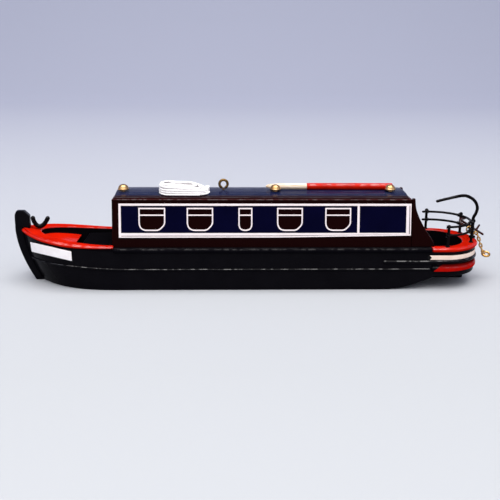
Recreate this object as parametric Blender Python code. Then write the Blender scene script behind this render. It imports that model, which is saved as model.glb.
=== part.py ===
"""Small painted wooden model of a narrowboat, 200 mm from stem to stern guard.

The frame is +X to the bow, +Y to port and +Z up, with the origin on the flat bottom amidships.
Every size below is in millimetres, and each mesh is scaled to metres as it is made.
"""

import math

import bmesh
import bpy
from mathutils import Vector

MM = 0.001
SEAT_GAP = 0.05  # paint film between two pieces that touch
STRIP_GAP = 0.09  # the same behind a strip bent round the hull

# Hull: flat bottom, near-vertical sides, raked stem, elliptical counter stern.
STEM_FRONT_X = 100.0
STEM_RAKE = 7.6  # how far the forefoot lies behind the stem's front
STEM_RAKE_HEIGHT = 23.0
STEM_RAKE_POWER = 1.8
STEM_DEPTH = 3.4  # fore-and-aft size of the stem post where it caps the planks
STEM_HALF_WIDTH = 1.5
STEM_HEAD_REAR_X = 93.75
STEM_RISES = (0.0, 3.0, 6.0, 9.0, 12.0, 15.0, 17.5, 20.0, 21.8, 22.8)
STEM_HEAD = ((STEM_FRONT_X, 28.6), (99.2, 30.4), (95.9, 30.4), (STEM_HEAD_REAR_X, 28.35))
STEM_EDGE_WEAR = 0.3
BOW_START_X = 52.0  # the sides are parallel aft of this
BOW_POWER_BOTTOM = 3.0
BOW_POWER_TOP = 4.8
BOTTOM_HALF_BEAM = 17.3
GUNWALE_HALF_BEAM = 17.65
GUNWALE_Z = 18.3
BOW_SHEER = 5.2
BOW_SHEER_START_X = 56.5
BOW_SHEER_END_X = 97.6
BOW_SHEER_POWER = 1.6
STERN_CENTRE_X = -82.0
STERN_LENGTH = 16.6  # half axis of the stern's ellipse along X
COUNTER_Z = 5.7
COUNTER_START_X = -77.5
RUN_START_X = -55.0
RUN_POWER = 2.0
DECK_BOARD = 1.5  # thickness of the deck boards laid on the hull
BOW_DECK_RISE = 0.6  # how much thicker the bow's board is against the cabin

SIDES = (("port", 1), ("starboard", -1))
STERN_PAINT_X = -76.0  # forward end of the red paint and of the stern's own boards
MIDDLE_GUARD_FRONT_X = -55.5
WHITE_BAND_X = -74.2
LOWER_GUARD_Z = 9.1
LOWER_GUARD_RISE = 1.5  # at the bow, reached between these two places
LOWER_GUARD_RISE_START_X = 50.0
LOWER_GUARD_RISE_END_X = 84.0
SKEG_FRONT_X = -76.0
SKEG_REAR_X = -94.6
SKEG_HALF_WIDTH = 1.3
SKEG_LOW_Z = 0.3
# The red counter band's section, as (out, z).
COUNTER_BAND = ((STRIP_GAP, 7.9), (0.55, 8.05), (0.8, 8.6), (0.8, 9.3), (0.55, 9.85), (0.25, 10.0), (0.25, 11.3),
                (STRIP_GAP, 11.3))
MIDDLE_GUARD = (11.4, 12.8, 0.75)  # low, high and how far it stands out
WHITE_BAND = (13.1, 15.0, 0.25)
LOWER_GUARD = (-0.7, 0.7, 0.5)

# Fore well furniture.
LOCKER_REAR_X = 74.3
LOCKER_TOP_Z = 16.6  # along its rear edge; the lid rises towards the bow
LOCKER_SLOPE = 0.2
SEAT_FRONT_X = 71.0
SEAT_TOP_Z = 17.2

# Wells cut into the hull.
FORE_WELL_FRONT_X = 89.0
FORE_WELL_HALF_WIDTH = 15.0
FORE_WELL_START_X = 50.0
FORE_WELL_POWER = 2.6
FORE_WELL_FLOOR_Z = 12.5
COCKPIT_HALF_LENGTH = 10.8
COCKPIT_HALF_WIDTH = 14.4
COCKPIT_FLOOR_Z = 9.0

# Cabin: a solid block with leaning sides, its roof board and the two swept wings behind it.
CABIN_FRONT_X = 56.5
CABIN_REAR_X = -67.6
CABIN_BASE_HALF_WIDTH = 15.9
CABIN_TOP_HALF_WIDTH = 12.8
CABIN_TOP_Z = 37.9
CABIN_CORNER = 0.45  # the worn corner between each side and the top
ROOF_EDGE_Z = 38.1
ROOF_CAMBER = 1.3
ROOF_MARGIN = 1.2
ROOF_GROOVES = 7
ROOF_GROOVE_DEPTH = 0.15
ROOF_GROOVE_HALF_WIDTH = 0.12
ROOF_FRONT_MARGIN = 0.3
ROOF_REAR_MARGIN = 1.2
WING_THICKNESS = 1.4
# The wing's swept rear edge, as (x, z) from its head to its foot.
WING_SWEEP = ((-68.8, 39.0), (-69.2, 34.5), (-70.3, 31.2), (-72.0, 27.8), (-74.1, 24.4), (-76.3, 21.2), (-77.3, 18.9))
WING_TOP_Z = 38.9

# Side panels, read along the cabin side from its foot: distances up the leaning side.
PANEL_FRONT_X = 54.2
PANEL_REAR_X = -67.05
PANEL_LOW_Z = 22.2
PANEL_HIGH_Z = 36.6
PANEL_THICKNESS = 0.25
FRAME_PROUD = 0.15
FRAME_WIDTH = 1.25
FOOT_FRAME_WIDTH = 2.1
DIVIDER_X = -44.9
DIVIDER_WIDTH = 1.3
REAR_FRAME_WIDTH = 2.4
# Each window's front and rear edge along X.
WINDOWS = ((46.2, 34.8), (26.4, 15.1), (5.1, -1.1), (-10.9, -22.0), (-30.9, -42.1))
WINDOW_LOW_Z = 24.8
WINDOW_HIGH_Z = 34.9
WINDOW_FRAME = 0.9
WINDOW_BAR_Z = 31.9
WINDOW_BAR = 0.8
WINDOW_CORNER = 3.2

# How far the deck's edge strips stand out of the hull.
GUARD_PROUD = 0.85
GUARD_TOP_DROP = 0.15  # below the deck's surface
SIDE_GUARD_DEPTH = 2.2
STERN_GUARD_DEPTH = 1.8
BOW_GUARD_DEPTH = 1.6
# The bow guard tapers to a thin point where it meets the cabin.
BOW_GUARD_THIN_X = 57.0
BOW_GUARD_FULL_X = 75.0
BOW_GUARD_THIN_DEPTH = 0.7
BOW_GUARD_THIN_PROUD = 0.5

# Roof fittings.
PIN_Y = 2.8
PINS = (("fore", 53.2), ("middle", -11.0), ("aft", -60.0))
# A pin's outline, as (radius, height over its seat): a wide flange with a small dome on it.
PIN_PROFILE = ((0.25, 2.9), (0.8, 2.8), (1.25, 2.4), (1.4, 1.9), (1.45, 1.55), (2.2, 1.3), (2.4, 0.9), (2.4, 0.6),
               (2.1, 0.35), (0.8, 0.25), (0.8, 0.0))
POLE_RADIUS = 1.4
SHAFT_RADIUS = 1.1
POLE_Y = -0.8
POLE_TIP_X = -7.2
POLE_JOINT_X = -24.7
POLE_END_X = -61.8
POLE_END_WEAR = 0.35
HANK_X = 27.2
HANK_Y = 6.0
HANK_LENGTH = 23.0
HANK_WIDTH = 10.0
HANK_HEIGHT = 4.5
EYE_X = 11.0
EYE_RADIUS = 1.72
EYE_WIRE = 0.56
EYE_RING_LIFT = 0.23  # the ring's lowest point over its seat

# Bow fittings.
# The name board's lower and upper edge along the bow, as (x, low z, high z).
PLATE_EDGES = ((73.6, 12.69, 16.85), (77.0, 13.33, 17.54), (80.0, 13.78, 18.05), (83.0, 14.1, 18.43),
               (86.0, 14.24, 18.64), (89.0, 14.13, 18.64), (92.2, 13.7, 18.33))
PLATE_OUT = 0.35
PLATE_COLUMNS = 14
CLEAT_X = 90.0
CLEAT_WIRE = 0.95
CLEAT_FOOT_LIFT = 0.3
# The cleat's two arms, as (x, z) of their tip and knee, fore and aft.
CLEAT_FORE_ARM = ((92.65, 27.95), (92.25, 25.8))
CLEAT_AFT_ARM = ((87.0, 25.6), (85.8, 27.75))

# Stern gear.
POST_WIRE = 0.6
POST_TOP_Z = 27.8
# Each post's angle round the rail, from port abeam.
RAIL_POSTS = (("port", 0.05), ("port_quarter", 1.02), ("starboard_quarter", 2.12), ("starboard", 3.182))
ANCHOR_CROWN = (-93.4, -4.2, 25.35)
ANCHOR_RING_END = (-103.7, -2.0, 18.95)
ANCHOR_ARM_WAY = (0.408, 0.88, -0.246)
ANCHOR_STOCK_WAY = (-0.74, -0.1, 0.67)
ANCHOR_WIRE = 0.5
ANCHOR_STOCK_WIRE = 0.4
ANCHOR_ARM_RADIUS = 3.6
ANCHOR_ARM_TURN = 1.15  # half angle of the arms' arc
ANCHOR_STOCK_SHARE = 0.68
ANCHOR_STOCK_HALF = 2.9
PALM_TIP = 0.5
PALM_LENGTH = 1.3
PALM_HALF_WIDTH = 0.95
PALM_HALF_THICKNESS = 0.2
CHAIN_ROUTE = ((-97.4, 2.4, 21.3), (-98.6, 2.0, 21.0), (-99.9, 1.5, 19.6), (-100.9, 0.9, 17.4), (-101.9, 0.2, 15.1),
               (-102.8, -0.2, 12.8), (-103.6, -0.4, 11.5))
CHAIN_PITCH = 1.75
CHAIN_LINK_LENGTH = 2.6
CHAIN_LINK_WIDTH = 1.7
CHAIN_LINK_TWIST = 0.35
CHAIN_WIRE = 0.32
CHAIN_RAIL_RING = (-95.82, 2.4, 22.52)
CHAIN_RAIL_RING_SIZE = 2.6
CHAIN_END_RING = (-104.9, -0.5, 10.6)
CHAIN_END_RING_SIZE = 3.1
CHAIN_END_RING_TILT = (0.0, 0.9, -0.44)
CHAIN_END_RING_WIRE = 0.5
RAIL_WIRE = 0.5
RAIL_HALF_WIDTH = 15.0
RAIL_CENTRE_X = -82.0
RAIL_LENGTH = 14.0
RAIL_FRONT_X = -79.0  # the starboard ends; the port ends stop at their post
RAIL_LOW_Z = 22.9
RAIL_TOP_Z = 26.5
TILLER_WIRE = 0.68
TILLER_X = -97.9
# The tiller's centre line from its axis, as (x, z).
TILLER_LINE = ((0.0, 24.0), (0.05, 27.0), (-0.95, 29.2), (-1.35, 31.6), (-0.2, 34.3), (2.45, 36.3), (5.6, 36.9),
               (11.0, 35.8), (17.0, 34.3))
# The round bead on the tiller's neck, as (radius, z).
TILLER_BEAD = ((0.35, 26.7), (0.85, 26.45), (1.1, 25.9), (1.1, 25.5), (0.85, 24.95), (0.35, 24.7))
COLLAR_RADIUS = 1.45
COLLAR_HEIGHT = 0.75
COLLAR_PLAY = 0.08


def clear_scene():
    for item in list(bpy.data.objects):
        bpy.data.objects.remove(item, do_unlink=True)


def paint(name, rgb, roughness, metallic=0.0):
    """A Principled material with one linear colour."""
    made = bpy.data.materials.new(name)
    made.use_nodes = True
    shader = made.node_tree.nodes["Principled BSDF"]
    shader.inputs["Base Color"].default_value = (*rgb, 1.0)
    shader.inputs["Roughness"].default_value = roughness
    shader.inputs["Metallic"].default_value = metallic
    made.diffuse_color = (*rgb, 1.0)
    return made


def add_object(name, data, material):
    data.materials.append(material)
    made = bpy.data.objects.new(name, data)
    bpy.context.scene.collection.objects.link(made)
    return made


def add_mesh(name, points, faces, material, sharp=35):
    """One closed mesh from points in millimetres, its faces turned outwards."""
    mesh = bpy.data.meshes.new(name)
    shape = bmesh.new()
    corners = [shape.verts.new(Vector(point) * MM) for point in points]
    for face in faces:
        shape.faces.new([corners[index] for index in face])
    bmesh.ops.recalc_face_normals(shape, faces=shape.faces)
    shape.to_mesh(mesh)
    shape.free()
    mesh.shade_smooth()
    mesh.set_sharp_from_angle(angle=math.radians(sharp))
    return add_object(name, mesh, material)


def loft(name, rings, material, sharp=35, ladder=False):
    """A closed solid through rings of equal length; a ladder cap joins a ring's port side to its starboard side."""
    count = len(rings[0])
    points = [point for ring in rings for point in ring]
    faces = []
    for level in range(len(rings) - 1):
        here = level * count
        above = here + count
        for i in range(count):
            j = (i + 1) % count
            faces.append((here + i, here + j, above + j, above + i))
    for first in (0, (len(rings) - 1) * count):
        if not ladder:
            faces.append(tuple(range(first, first + count)))
            continue
        for i in range((count - 1) // 2):
            rung = (first + i, first + i + 1, first + count - 2 - i, first + count - 1 - i)
            faces.append(tuple(dict.fromkeys(rung)))
    return add_mesh(name, points, faces, material, sharp)


def prism(name, outline, low, high, material, ladder=False):
    """An upright prism over an outline of (x, y)."""
    return loft(name, [[(x, y, z) for x, y in outline] for z in (low, high)], material, ladder=ladder)


def wire(name, points, radius, material, closed=False, sides=2):
    """A round wire along points in millimetres."""
    curve = bpy.data.curves.new(name, "CURVE")
    curve.dimensions = "3D"
    curve.bevel_depth = radius * MM
    curve.bevel_resolution = sides
    curve.use_fill_caps = True
    line = curve.splines.new("POLY")
    line.points.add(len(points) - 1)
    for point, place in zip(line.points, points):
        point.co = (*(Vector(place) * MM), 1.0)
    line.use_cyclic_u = closed
    return add_object(name, curve, material)


def turned(name, profile, centre, material, steps=20):
    """A round piece: its profile of (radius, z) from the top axis down to the bottom axis, spun about +Z."""
    rings = []
    for radius, height in profile:
        ring = []
        for step in range(steps):
            angle = 2 * math.pi * step / steps
            ring.append((centre[0] + radius * math.cos(angle), centre[1] + radius * math.sin(angle), height))
        rings.append(ring)
    return loft(name, rings, material, sharp=40)


def cut(target, cutter):
    """Takes the cutter out of the target and hides the cutter from the render."""
    cutter.hide_render = True
    cutter.display_type = "WIRE"
    modifier = target.modifiers.new("cut " + cutter.name, "BOOLEAN")
    modifier.object = cutter
    modifier.operation = "DIFFERENCE"


def unite(target, others):
    for other in others:
        other.hide_render = True
        other.display_type = "WIRE"
        modifier = target.modifiers.new("unite " + other.name, "BOOLEAN")
        modifier.object = other
        modifier.operation = "UNION"


def spread(first, last, count):
    return [first + (last - first) * i / (count - 1) for i in range(count)]


# Stations shared by the hull and everything that follows its sides.
BOW_SHARES = [1 - (1 - share) ** 1.6 for share in spread(0.0, 1.0, 13)]
SIDE_STATIONS = [0.0] + spread(RUN_START_X, COUNTER_START_X, 8)
STERN_STATIONS = [("stern", angle) for angle in spread(0.0, math.pi, 19)[1:-1]]
HULL_LEVELS = (0.0, 0.12, 0.3, 0.5, 0.7, 0.86, 1.0)


def smooth_path(knots, per_span):
    """Points on a Catmull-Rom curve through the knots."""
    path = []
    ends = [knots[0]] + list(knots) + [knots[-1]]
    for i in range(1, len(ends) - 2):
        a, b, c, d = (Vector(ends[i + k]) for k in (-1, 0, 1, 2))
        for step in range(per_span):
            t = step / per_span
            path.append(
                0.5 * (2 * b + (c - a) * t + (2 * a - 5 * b + 4 * c - d) * t * t + (3 * b - a - 3 * c + d) * t**3)
            )
    path.append(Vector(knots[-1]))
    return path


def stem_x(z):
    """The stem's front face: it rakes forward from the forefoot and is upright above the deck."""
    share = max(0.0, 1 - z / STEM_RAKE_HEIGHT)
    return STEM_FRONT_X - STEM_RAKE * share**STEM_RAKE_POWER


def deck_z(x):
    """The deck's height along the boat, rising towards the bow."""
    share = max(0.0, (x - BOW_SHEER_START_X) / (BOW_SHEER_END_X - BOW_SHEER_START_X))
    return GUNWALE_Z + BOW_SHEER * share**BOW_SHEER_POWER


def bow_deck_z(x):
    """Top of the bow's deck board, thicker towards the cabin."""
    share = (x - BOW_SHEER_START_X) / (BOW_SHEER_END_X - BOW_SHEER_START_X)
    return deck_z(x) + BOW_DECK_RISE * (1 - min(1.0, max(0.0, share)))


def bottom_z(x):
    """Flat bottom, then the run rising to the counter."""
    share = min(1.0, max(0.0, (RUN_START_X - x) / (RUN_START_X - COUNTER_START_X)))
    return COUNTER_Z * share**RUN_POWER


def half_beam(z):
    share = min(1.0, z / GUNWALE_Z)
    return BOTTOM_HALF_BEAM + (GUNWALE_HALF_BEAM - BOTTOM_HALF_BEAM) * share


def hull_y(x, z):
    """Half breadth of the hull at a place and height, forward of the stern's ellipse."""
    if x <= BOW_START_X:
        return half_beam(z)
    share = min(1.0, z / GUNWALE_Z)
    power = BOW_POWER_BOTTOM + (BOW_POWER_TOP - BOW_POWER_BOTTOM) * share
    along = min(1.0, (x - BOW_START_X) / (stem_x(z) - STEM_DEPTH - BOW_START_X))
    return STEM_HALF_WIDTH + (half_beam(z) - STEM_HALF_WIDTH) * (1 - along**power)


def bow_place(share, z):
    """Place and half breadth at a share of the bow's length, 0 where the sides turn in and 1 at the stem."""
    x = BOW_START_X + (stem_x(z) - STEM_DEPTH - BOW_START_X) * share
    return x, hull_y(x, z)


def stern_place(angle, z):
    """A point of the stern's ellipse, from port at angle 0 to starboard at half a turn."""
    return STERN_CENTRE_X - STERN_LENGTH * math.sin(angle), half_beam(z) * math.cos(angle)


def station_point(station, z):
    """The hull's surface and its outward normal in plan at a station and height: (x, y, nx, ny)."""
    kind, value = station
    step = 0.002
    if kind == "bow":
        x, y = bow_place(value, z)
        front, rear = bow_place(value + step, z), bow_place(value - step, z)
        normal = Vector((-(front[1] - rear[1]), front[0] - rear[0])).normalized()
        return x, y, normal.x, normal.y
    if kind == "side":
        return value, half_beam(z), 0.0, 1.0
    x, y = stern_place(value, z)
    normal = Vector((-math.sin(value) / STERN_LENGTH, math.cos(value) / half_beam(z))).normalized()
    return x, y, normal.x, normal.y


def port_stations(front_share=None, front_x=None, rear_x=STERN_CENTRE_X):
    """Stations down the port side, from a share of the bow or a place on the parallel side."""
    found = []
    if front_share is not None:
        found += [("bow", share) for share in reversed(BOW_SHARES) if share <= front_share + 1e-6]
        front_x = BOW_START_X
    else:
        found.append(("side", front_x))
    inner = [x for x in SIDE_STATIONS if rear_x + 0.5 < x < front_x - 0.5]
    return found + [("side", x) for x in inner + [rear_x]]


def strip(name, stations, height, profile, material, sign=1, closed_stern=False):
    """A strip with its profile of (out, up) at each x carried down the hull's side, and round the stern where asked."""
    rings = []
    for station in stations + (STERN_STATIONS if closed_stern else []):
        x = bow_place(station[1], GUNWALE_Z)[0] if station[0] == "bow" else 0.0
        ring = []
        for out, up in profile(x):
            z = height(x) + up
            px, py, nx, ny = station_point(station, z)
            ring.append((px + nx * out, sign * (py + ny * out), z))
        rings.append(ring)
    if closed_stern:
        rings += [[(x, -y, z) for x, y, z in ring] for ring in reversed(rings[:len(stations)])]
    return loft(name, rings, material, sharp=50)


def half_round(low, high, proud):
    """A guard's profile: flat against the hull, rounded outside."""
    half = (high - low) / 2
    middle = (high + low) / 2
    arc = [(STRIP_GAP + proud * math.cos(a), middle + half * math.sin(a)) for a in spread(-1.25, 1.25, 5)]
    return [(STRIP_GAP, low)] + arc + [(STRIP_GAP, high)]


def steady(profile):
    """The same profile at every place."""
    return lambda x: profile


def make_paints():
    return {
        "black": paint("black enamel on wood", (0.006, 0.006, 0.007), 0.22),
        "wire": paint("black enamel on wire", (0.008, 0.008, 0.009), 0.25, 0.3),
        "red": paint("orange red enamel on wood", (0.62, 0.03, 0.012), 0.25),
        "white": paint("cream enamel on wood", (0.85, 0.8, 0.74), 0.35),
        "maroon": paint("maroon enamel on wood", (0.03, 0.004, 0.004), 0.2),
        "blue": paint("dark blue enamel on wood", (0.01, 0.02, 0.08), 0.2),
        "navy": paint("navy printed card", (0.008, 0.01, 0.05), 0.3),
        "brass": paint("polished brass", (0.72, 0.45, 0.14), 0.25, 1.0),
        "cotton": paint("white cotton string", (0.8, 0.78, 0.74), 0.9),
        "pine": paint("bare pine dowel", (0.62, 0.36, 0.17), 0.6),
        "rust": paint("dark red brown enamel on metal", (0.06, 0.012, 0.01), 0.35, 0.4),
    }


def build_hull(paints):
    """The carved block: sides by levels from the rising bottom to the sheer, with both wells cut out."""
    rings = []
    for level in HULL_LEVELS:
        port = []
        for share in reversed(BOW_SHARES):
            top = deck_z(bow_place(share, GUNWALE_Z)[0]) - DECK_BOARD
            port.append((*bow_place(share, level * top), level * top))
        for x in SIDE_STATIONS + [STERN_CENTRE_X]:
            low = bottom_z(x)
            z = low + level * (GUNWALE_Z - DECK_BOARD - low)
            port.append((x, half_beam(z), z))
        z = COUNTER_Z + level * (GUNWALE_Z - DECK_BOARD - COUNTER_Z)
        stern = [(*stern_place(angle, z), z) for _, angle in STERN_STATIONS]
        rings.append(port + stern + [(x, -y, z) for x, y, z in reversed(port)])
    hull = loft("hull", rings, paints["black"], ladder=True)
    cut(hull, prism("fore_well_cutter", fore_well_outline(0.0), FORE_WELL_FLOOR_Z, 30.0, paints["black"]))
    cut(hull, prism("cockpit_cutter", cockpit_outline(0.0), COCKPIT_FLOOR_Z, 30.0, paints["black"]))


def fore_well_outline(margin):
    """The bow well seen from above, smaller all round by the margin."""
    port = []
    front = FORE_WELL_FRONT_X - margin
    for share in spread(0.0, 1.0, 12):
        x = CABIN_FRONT_X + (front - CABIN_FRONT_X) * (1 - (1 - share) ** 2)
        along = (x - FORE_WELL_START_X) / (front - FORE_WELL_START_X)
        port.append((x, (FORE_WELL_HALF_WIDTH - margin) * math.sqrt(max(0.0, 1 - along**FORE_WELL_POWER))))
    return port + [(x, -y) for x, y in reversed(port[:-1])]


def cockpit_outline(margin, front_x=CABIN_REAR_X):
    """The stern cockpit seen from above: straight sides, then an ellipse aft."""
    length = COCKPIT_HALF_LENGTH - margin
    width = COCKPIT_HALF_WIDTH - margin
    arc = [(STERN_CENTRE_X - length * math.sin(a), width * math.cos(a)) for a in spread(0.0, math.pi, 17)]
    return [(front_x, width)] + arc + [(front_x, -width)]


def build_stem(paints):
    """The stem post: its side outline, a little wider than the planks' ends, with a bevelled head."""
    front = [(stem_x(z), z) for z in STEM_RISES] + list(STEM_HEAD)
    foot_x = STEM_FRONT_X - STEM_DEPTH - SEAT_GAP
    back = [(x, bow_deck_z(x) + 2 * SEAT_GAP) for x in (STEM_HEAD_REAR_X, (STEM_HEAD_REAR_X + foot_x) / 2, foot_x)]
    back += [(stem_x(z) - STEM_DEPTH + SEAT_GAP, z) for z in reversed(STEM_RISES)]
    outline = front + back
    half = STEM_HALF_WIDTH
    stem = loft("stem_post", [[(x, y, z) for x, z in outline] for y in (-half, half)], paints["black"])
    bevel = stem.modifiers.new("worn edges", "BEVEL")
    bevel.width = STEM_EDGE_WEAR * MM
    bevel.segments = 1
    bevel.limit_method = "ANGLE"
    bevel.angle_limit = math.radians(40)


def build_skeg(paints):
    top = COUNTER_Z - SEAT_GAP
    outline = [(SKEG_FRONT_X, COUNTER_Z - 1.2), (SKEG_FRONT_X - 2.5, SKEG_LOW_Z), (SKEG_REAR_X, SKEG_LOW_Z)]
    outline += [(SKEG_REAR_X, top), (COUNTER_START_X, top)]
    loft("skeg", [[(x, y, z) for x, z in outline] for y in (-SKEG_HALF_WIDTH, SKEG_HALF_WIDTH)], paints["black"])


def build_guards(paints):
    """Rubbing strips on the hull: one pair below, the counter's bands, and one pair at the deck's edge."""
    def lower_z(x):
        share = (x - LOWER_GUARD_RISE_START_X) / (LOWER_GUARD_RISE_END_X - LOWER_GUARD_RISE_START_X)
        share = min(1.0, max(0.0, share))
        return LOWER_GUARD_Z + LOWER_GUARD_RISE * share * share * (3 - 2 * share)

    def level(x):
        return 0.0

    def bow_profile(x):
        full = min(1.0, max(0.0, (x - BOW_GUARD_THIN_X) / (BOW_GUARD_FULL_X - BOW_GUARD_THIN_X)))
        depth = BOW_GUARD_THIN_DEPTH + (BOW_GUARD_DEPTH - BOW_GUARD_THIN_DEPTH) * full
        proud = BOW_GUARD_THIN_PROUD + (GUARD_PROUD - BOW_GUARD_THIN_PROUD) * full
        return half_round(-depth, -GUARD_TOP_DROP, proud)

    edge = steady(half_round(-SIDE_GUARD_DEPTH, -GUARD_TOP_DROP, GUARD_PROUD))
    joint = (CABIN_FRONT_X - BOW_START_X) / (bow_place(1.0, GUNWALE_Z)[0] - BOW_START_X)
    for side, sign in SIDES:
        whole = port_stations(front_share=BOW_SHARES[-2], rear_x=STERN_PAINT_X)
        strip("lower_guard_" + side, whole, lower_z, steady(half_round(*LOWER_GUARD)), paints["black"], sign)
        aft = [("bow", joint)] + port_stations(front_x=BOW_START_X, rear_x=STERN_PAINT_X)
        strip("side_guard_" + side, aft, deck_z, edge, paints["black"], sign)
        bow = [("bow", share) for share in reversed(BOW_SHARES) if share > joint] + [("bow", joint + 0.002)]
        strip("bow_guard_" + side, bow, bow_deck_z, bow_profile, paints["red"], sign)
    red = port_stations(front_x=STERN_PAINT_X - SEAT_GAP)
    strip("red_counter_band", red, level, steady(COUNTER_BAND), paints["red"], closed_stern=True)
    middle = port_stations(front_x=MIDDLE_GUARD_FRONT_X)
    strip("middle_guard", middle, level, steady(half_round(*MIDDLE_GUARD)), paints["black"], closed_stern=True)
    low, high, out = WHITE_BAND
    band = steady([(STRIP_GAP, low), (out, low), (out, high), (STRIP_GAP, high)])
    white = port_stations(front_x=WHITE_BAND_X)
    strip("white_counter_band", white, level, band, paints["white"], closed_stern=True)
    stern = steady(half_round(GUNWALE_Z - STERN_GUARD_DEPTH, GUNWALE_Z - GUARD_TOP_DROP, GUARD_PROUD))
    strip("stern_guard", red, level, stern, paints["red"], closed_stern=True)


def build_decks(paints):
    """Deck boards on the hull: the bow's V, the stern's ring and the black side decks beside the cabin."""
    bow = []
    for share in BOW_SHARES:
        x, y = bow_place(share, GUNWALE_Z)
        if x > CABIN_FRONT_X + 1:
            bow.append((x, y))
    rear = CABIN_FRONT_X + SEAT_GAP
    bow = [(rear, hull_y(rear, GUNWALE_Z))] + bow
    outline = bow + [(x, -y) for x, y in reversed(bow)]
    low = [(x, y, deck_z(x) - DECK_BOARD + SEAT_GAP) for x, y in outline]
    high = [(x, y, bow_deck_z(x)) for x, y in outline]
    deck = loft("bow_deck", [low, high], paints["red"], ladder=True)
    cut(deck, prism("bow_deck_cutter", fore_well_outline(0.0), 10.0, 30.0, paints["red"]))
    low = GUNWALE_Z - DECK_BOARD + SEAT_GAP
    front = STERN_PAINT_X - SEAT_GAP
    width = half_beam(GUNWALE_Z - DECK_BOARD)
    stern = [(front, width), (STERN_CENTRE_X, width)]
    stern += [stern_place(angle, GUNWALE_Z - DECK_BOARD) for _, angle in STERN_STATIONS]
    stern += [(STERN_CENTRE_X, -width), (front, -width)]
    deck = prism("stern_deck", stern, low, GUNWALE_Z, paints["red"], ladder=True)
    cut(deck, prism("stern_deck_cutter", cockpit_outline(0.0), 10.0, 30.0, paints["red"]))
    for side, sign in SIDES:
        inner = CABIN_BASE_HALF_WIDTH + SEAT_GAP
        edges = ((inner, STERN_PAINT_X), (width, STERN_PAINT_X), (width, CABIN_FRONT_X), (inner, CABIN_FRONT_X))
        prism("side_deck_" + side, [(x, sign * y) for y, x in edges], low, GUNWALE_Z, paints["black"])


def build_fore_well(paints):
    """The red locker at the bow and the black seat against the cabin, both standing on the well's floor."""
    edge = fore_well_outline(0.25)
    locker = [(x, y) for x, y in edge if x > LOCKER_REAR_X + 0.4]
    side = interpolate_y(edge, LOCKER_REAR_X)
    locker = [(LOCKER_REAR_X, side)] + locker + [(LOCKER_REAR_X, -side)]
    floor = FORE_WELL_FLOOR_Z + SEAT_GAP
    low = [(x, y, floor) for x, y in locker]
    high = [(x, y, LOCKER_TOP_Z + LOCKER_SLOPE * (x - LOCKER_REAR_X)) for x, y in locker]
    loft("bow_locker", [low, high], paints["red"])
    side = interpolate_y(edge, SEAT_FRONT_X)
    seat = [(x, y) for x, y in edge if CABIN_FRONT_X + 0.4 < x < SEAT_FRONT_X - 0.4 and y > 0]
    rear = CABIN_FRONT_X + 0.25
    seat = [(rear, interpolate_y(edge, rear))] + seat + [(SEAT_FRONT_X, side)]
    prism("fore_seat", seat + [(x, -y) for x, y in reversed(seat)], floor, SEAT_TOP_Z, paints["black"])


def interpolate_y(outline, x):
    """Half width of an outline's port half at a place."""
    port = [point for point in outline if point[1] >= 0]
    for (x0, y0), (x1, y1) in zip(port, port[1:]):
        if x0 <= x <= x1:
            return y0 + (y1 - y0) * (x - x0) / (x1 - x0)
    return port[0][1]


def cabin_y(z):
    """Half width of the cabin: its sides lean in towards the roof."""
    share = (z - GUNWALE_Z) / (ROOF_EDGE_Z - GUNWALE_Z)
    return CABIN_BASE_HALF_WIDTH + (CABIN_TOP_HALF_WIDTH - CABIN_BASE_HALF_WIDTH) * share


def on_side(x, z, out, sign):
    """A point standing out from the cabin's leaning side."""
    lean = math.atan2(CABIN_BASE_HALF_WIDTH - CABIN_TOP_HALF_WIDTH, ROOF_EDGE_Z - GUNWALE_Z)
    return (x, sign * (cabin_y(z) + out * math.cos(lean)), z + out * math.sin(lean))


def side_plate(name, outline, inner, outer, sign, material):
    """A plate of outline (x, z) lying on the cabin's side between two distances out of it."""
    return loft(name, [[on_side(x, z, out, sign) for x, z in outline] for out in (inner, outer)], material)


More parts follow.
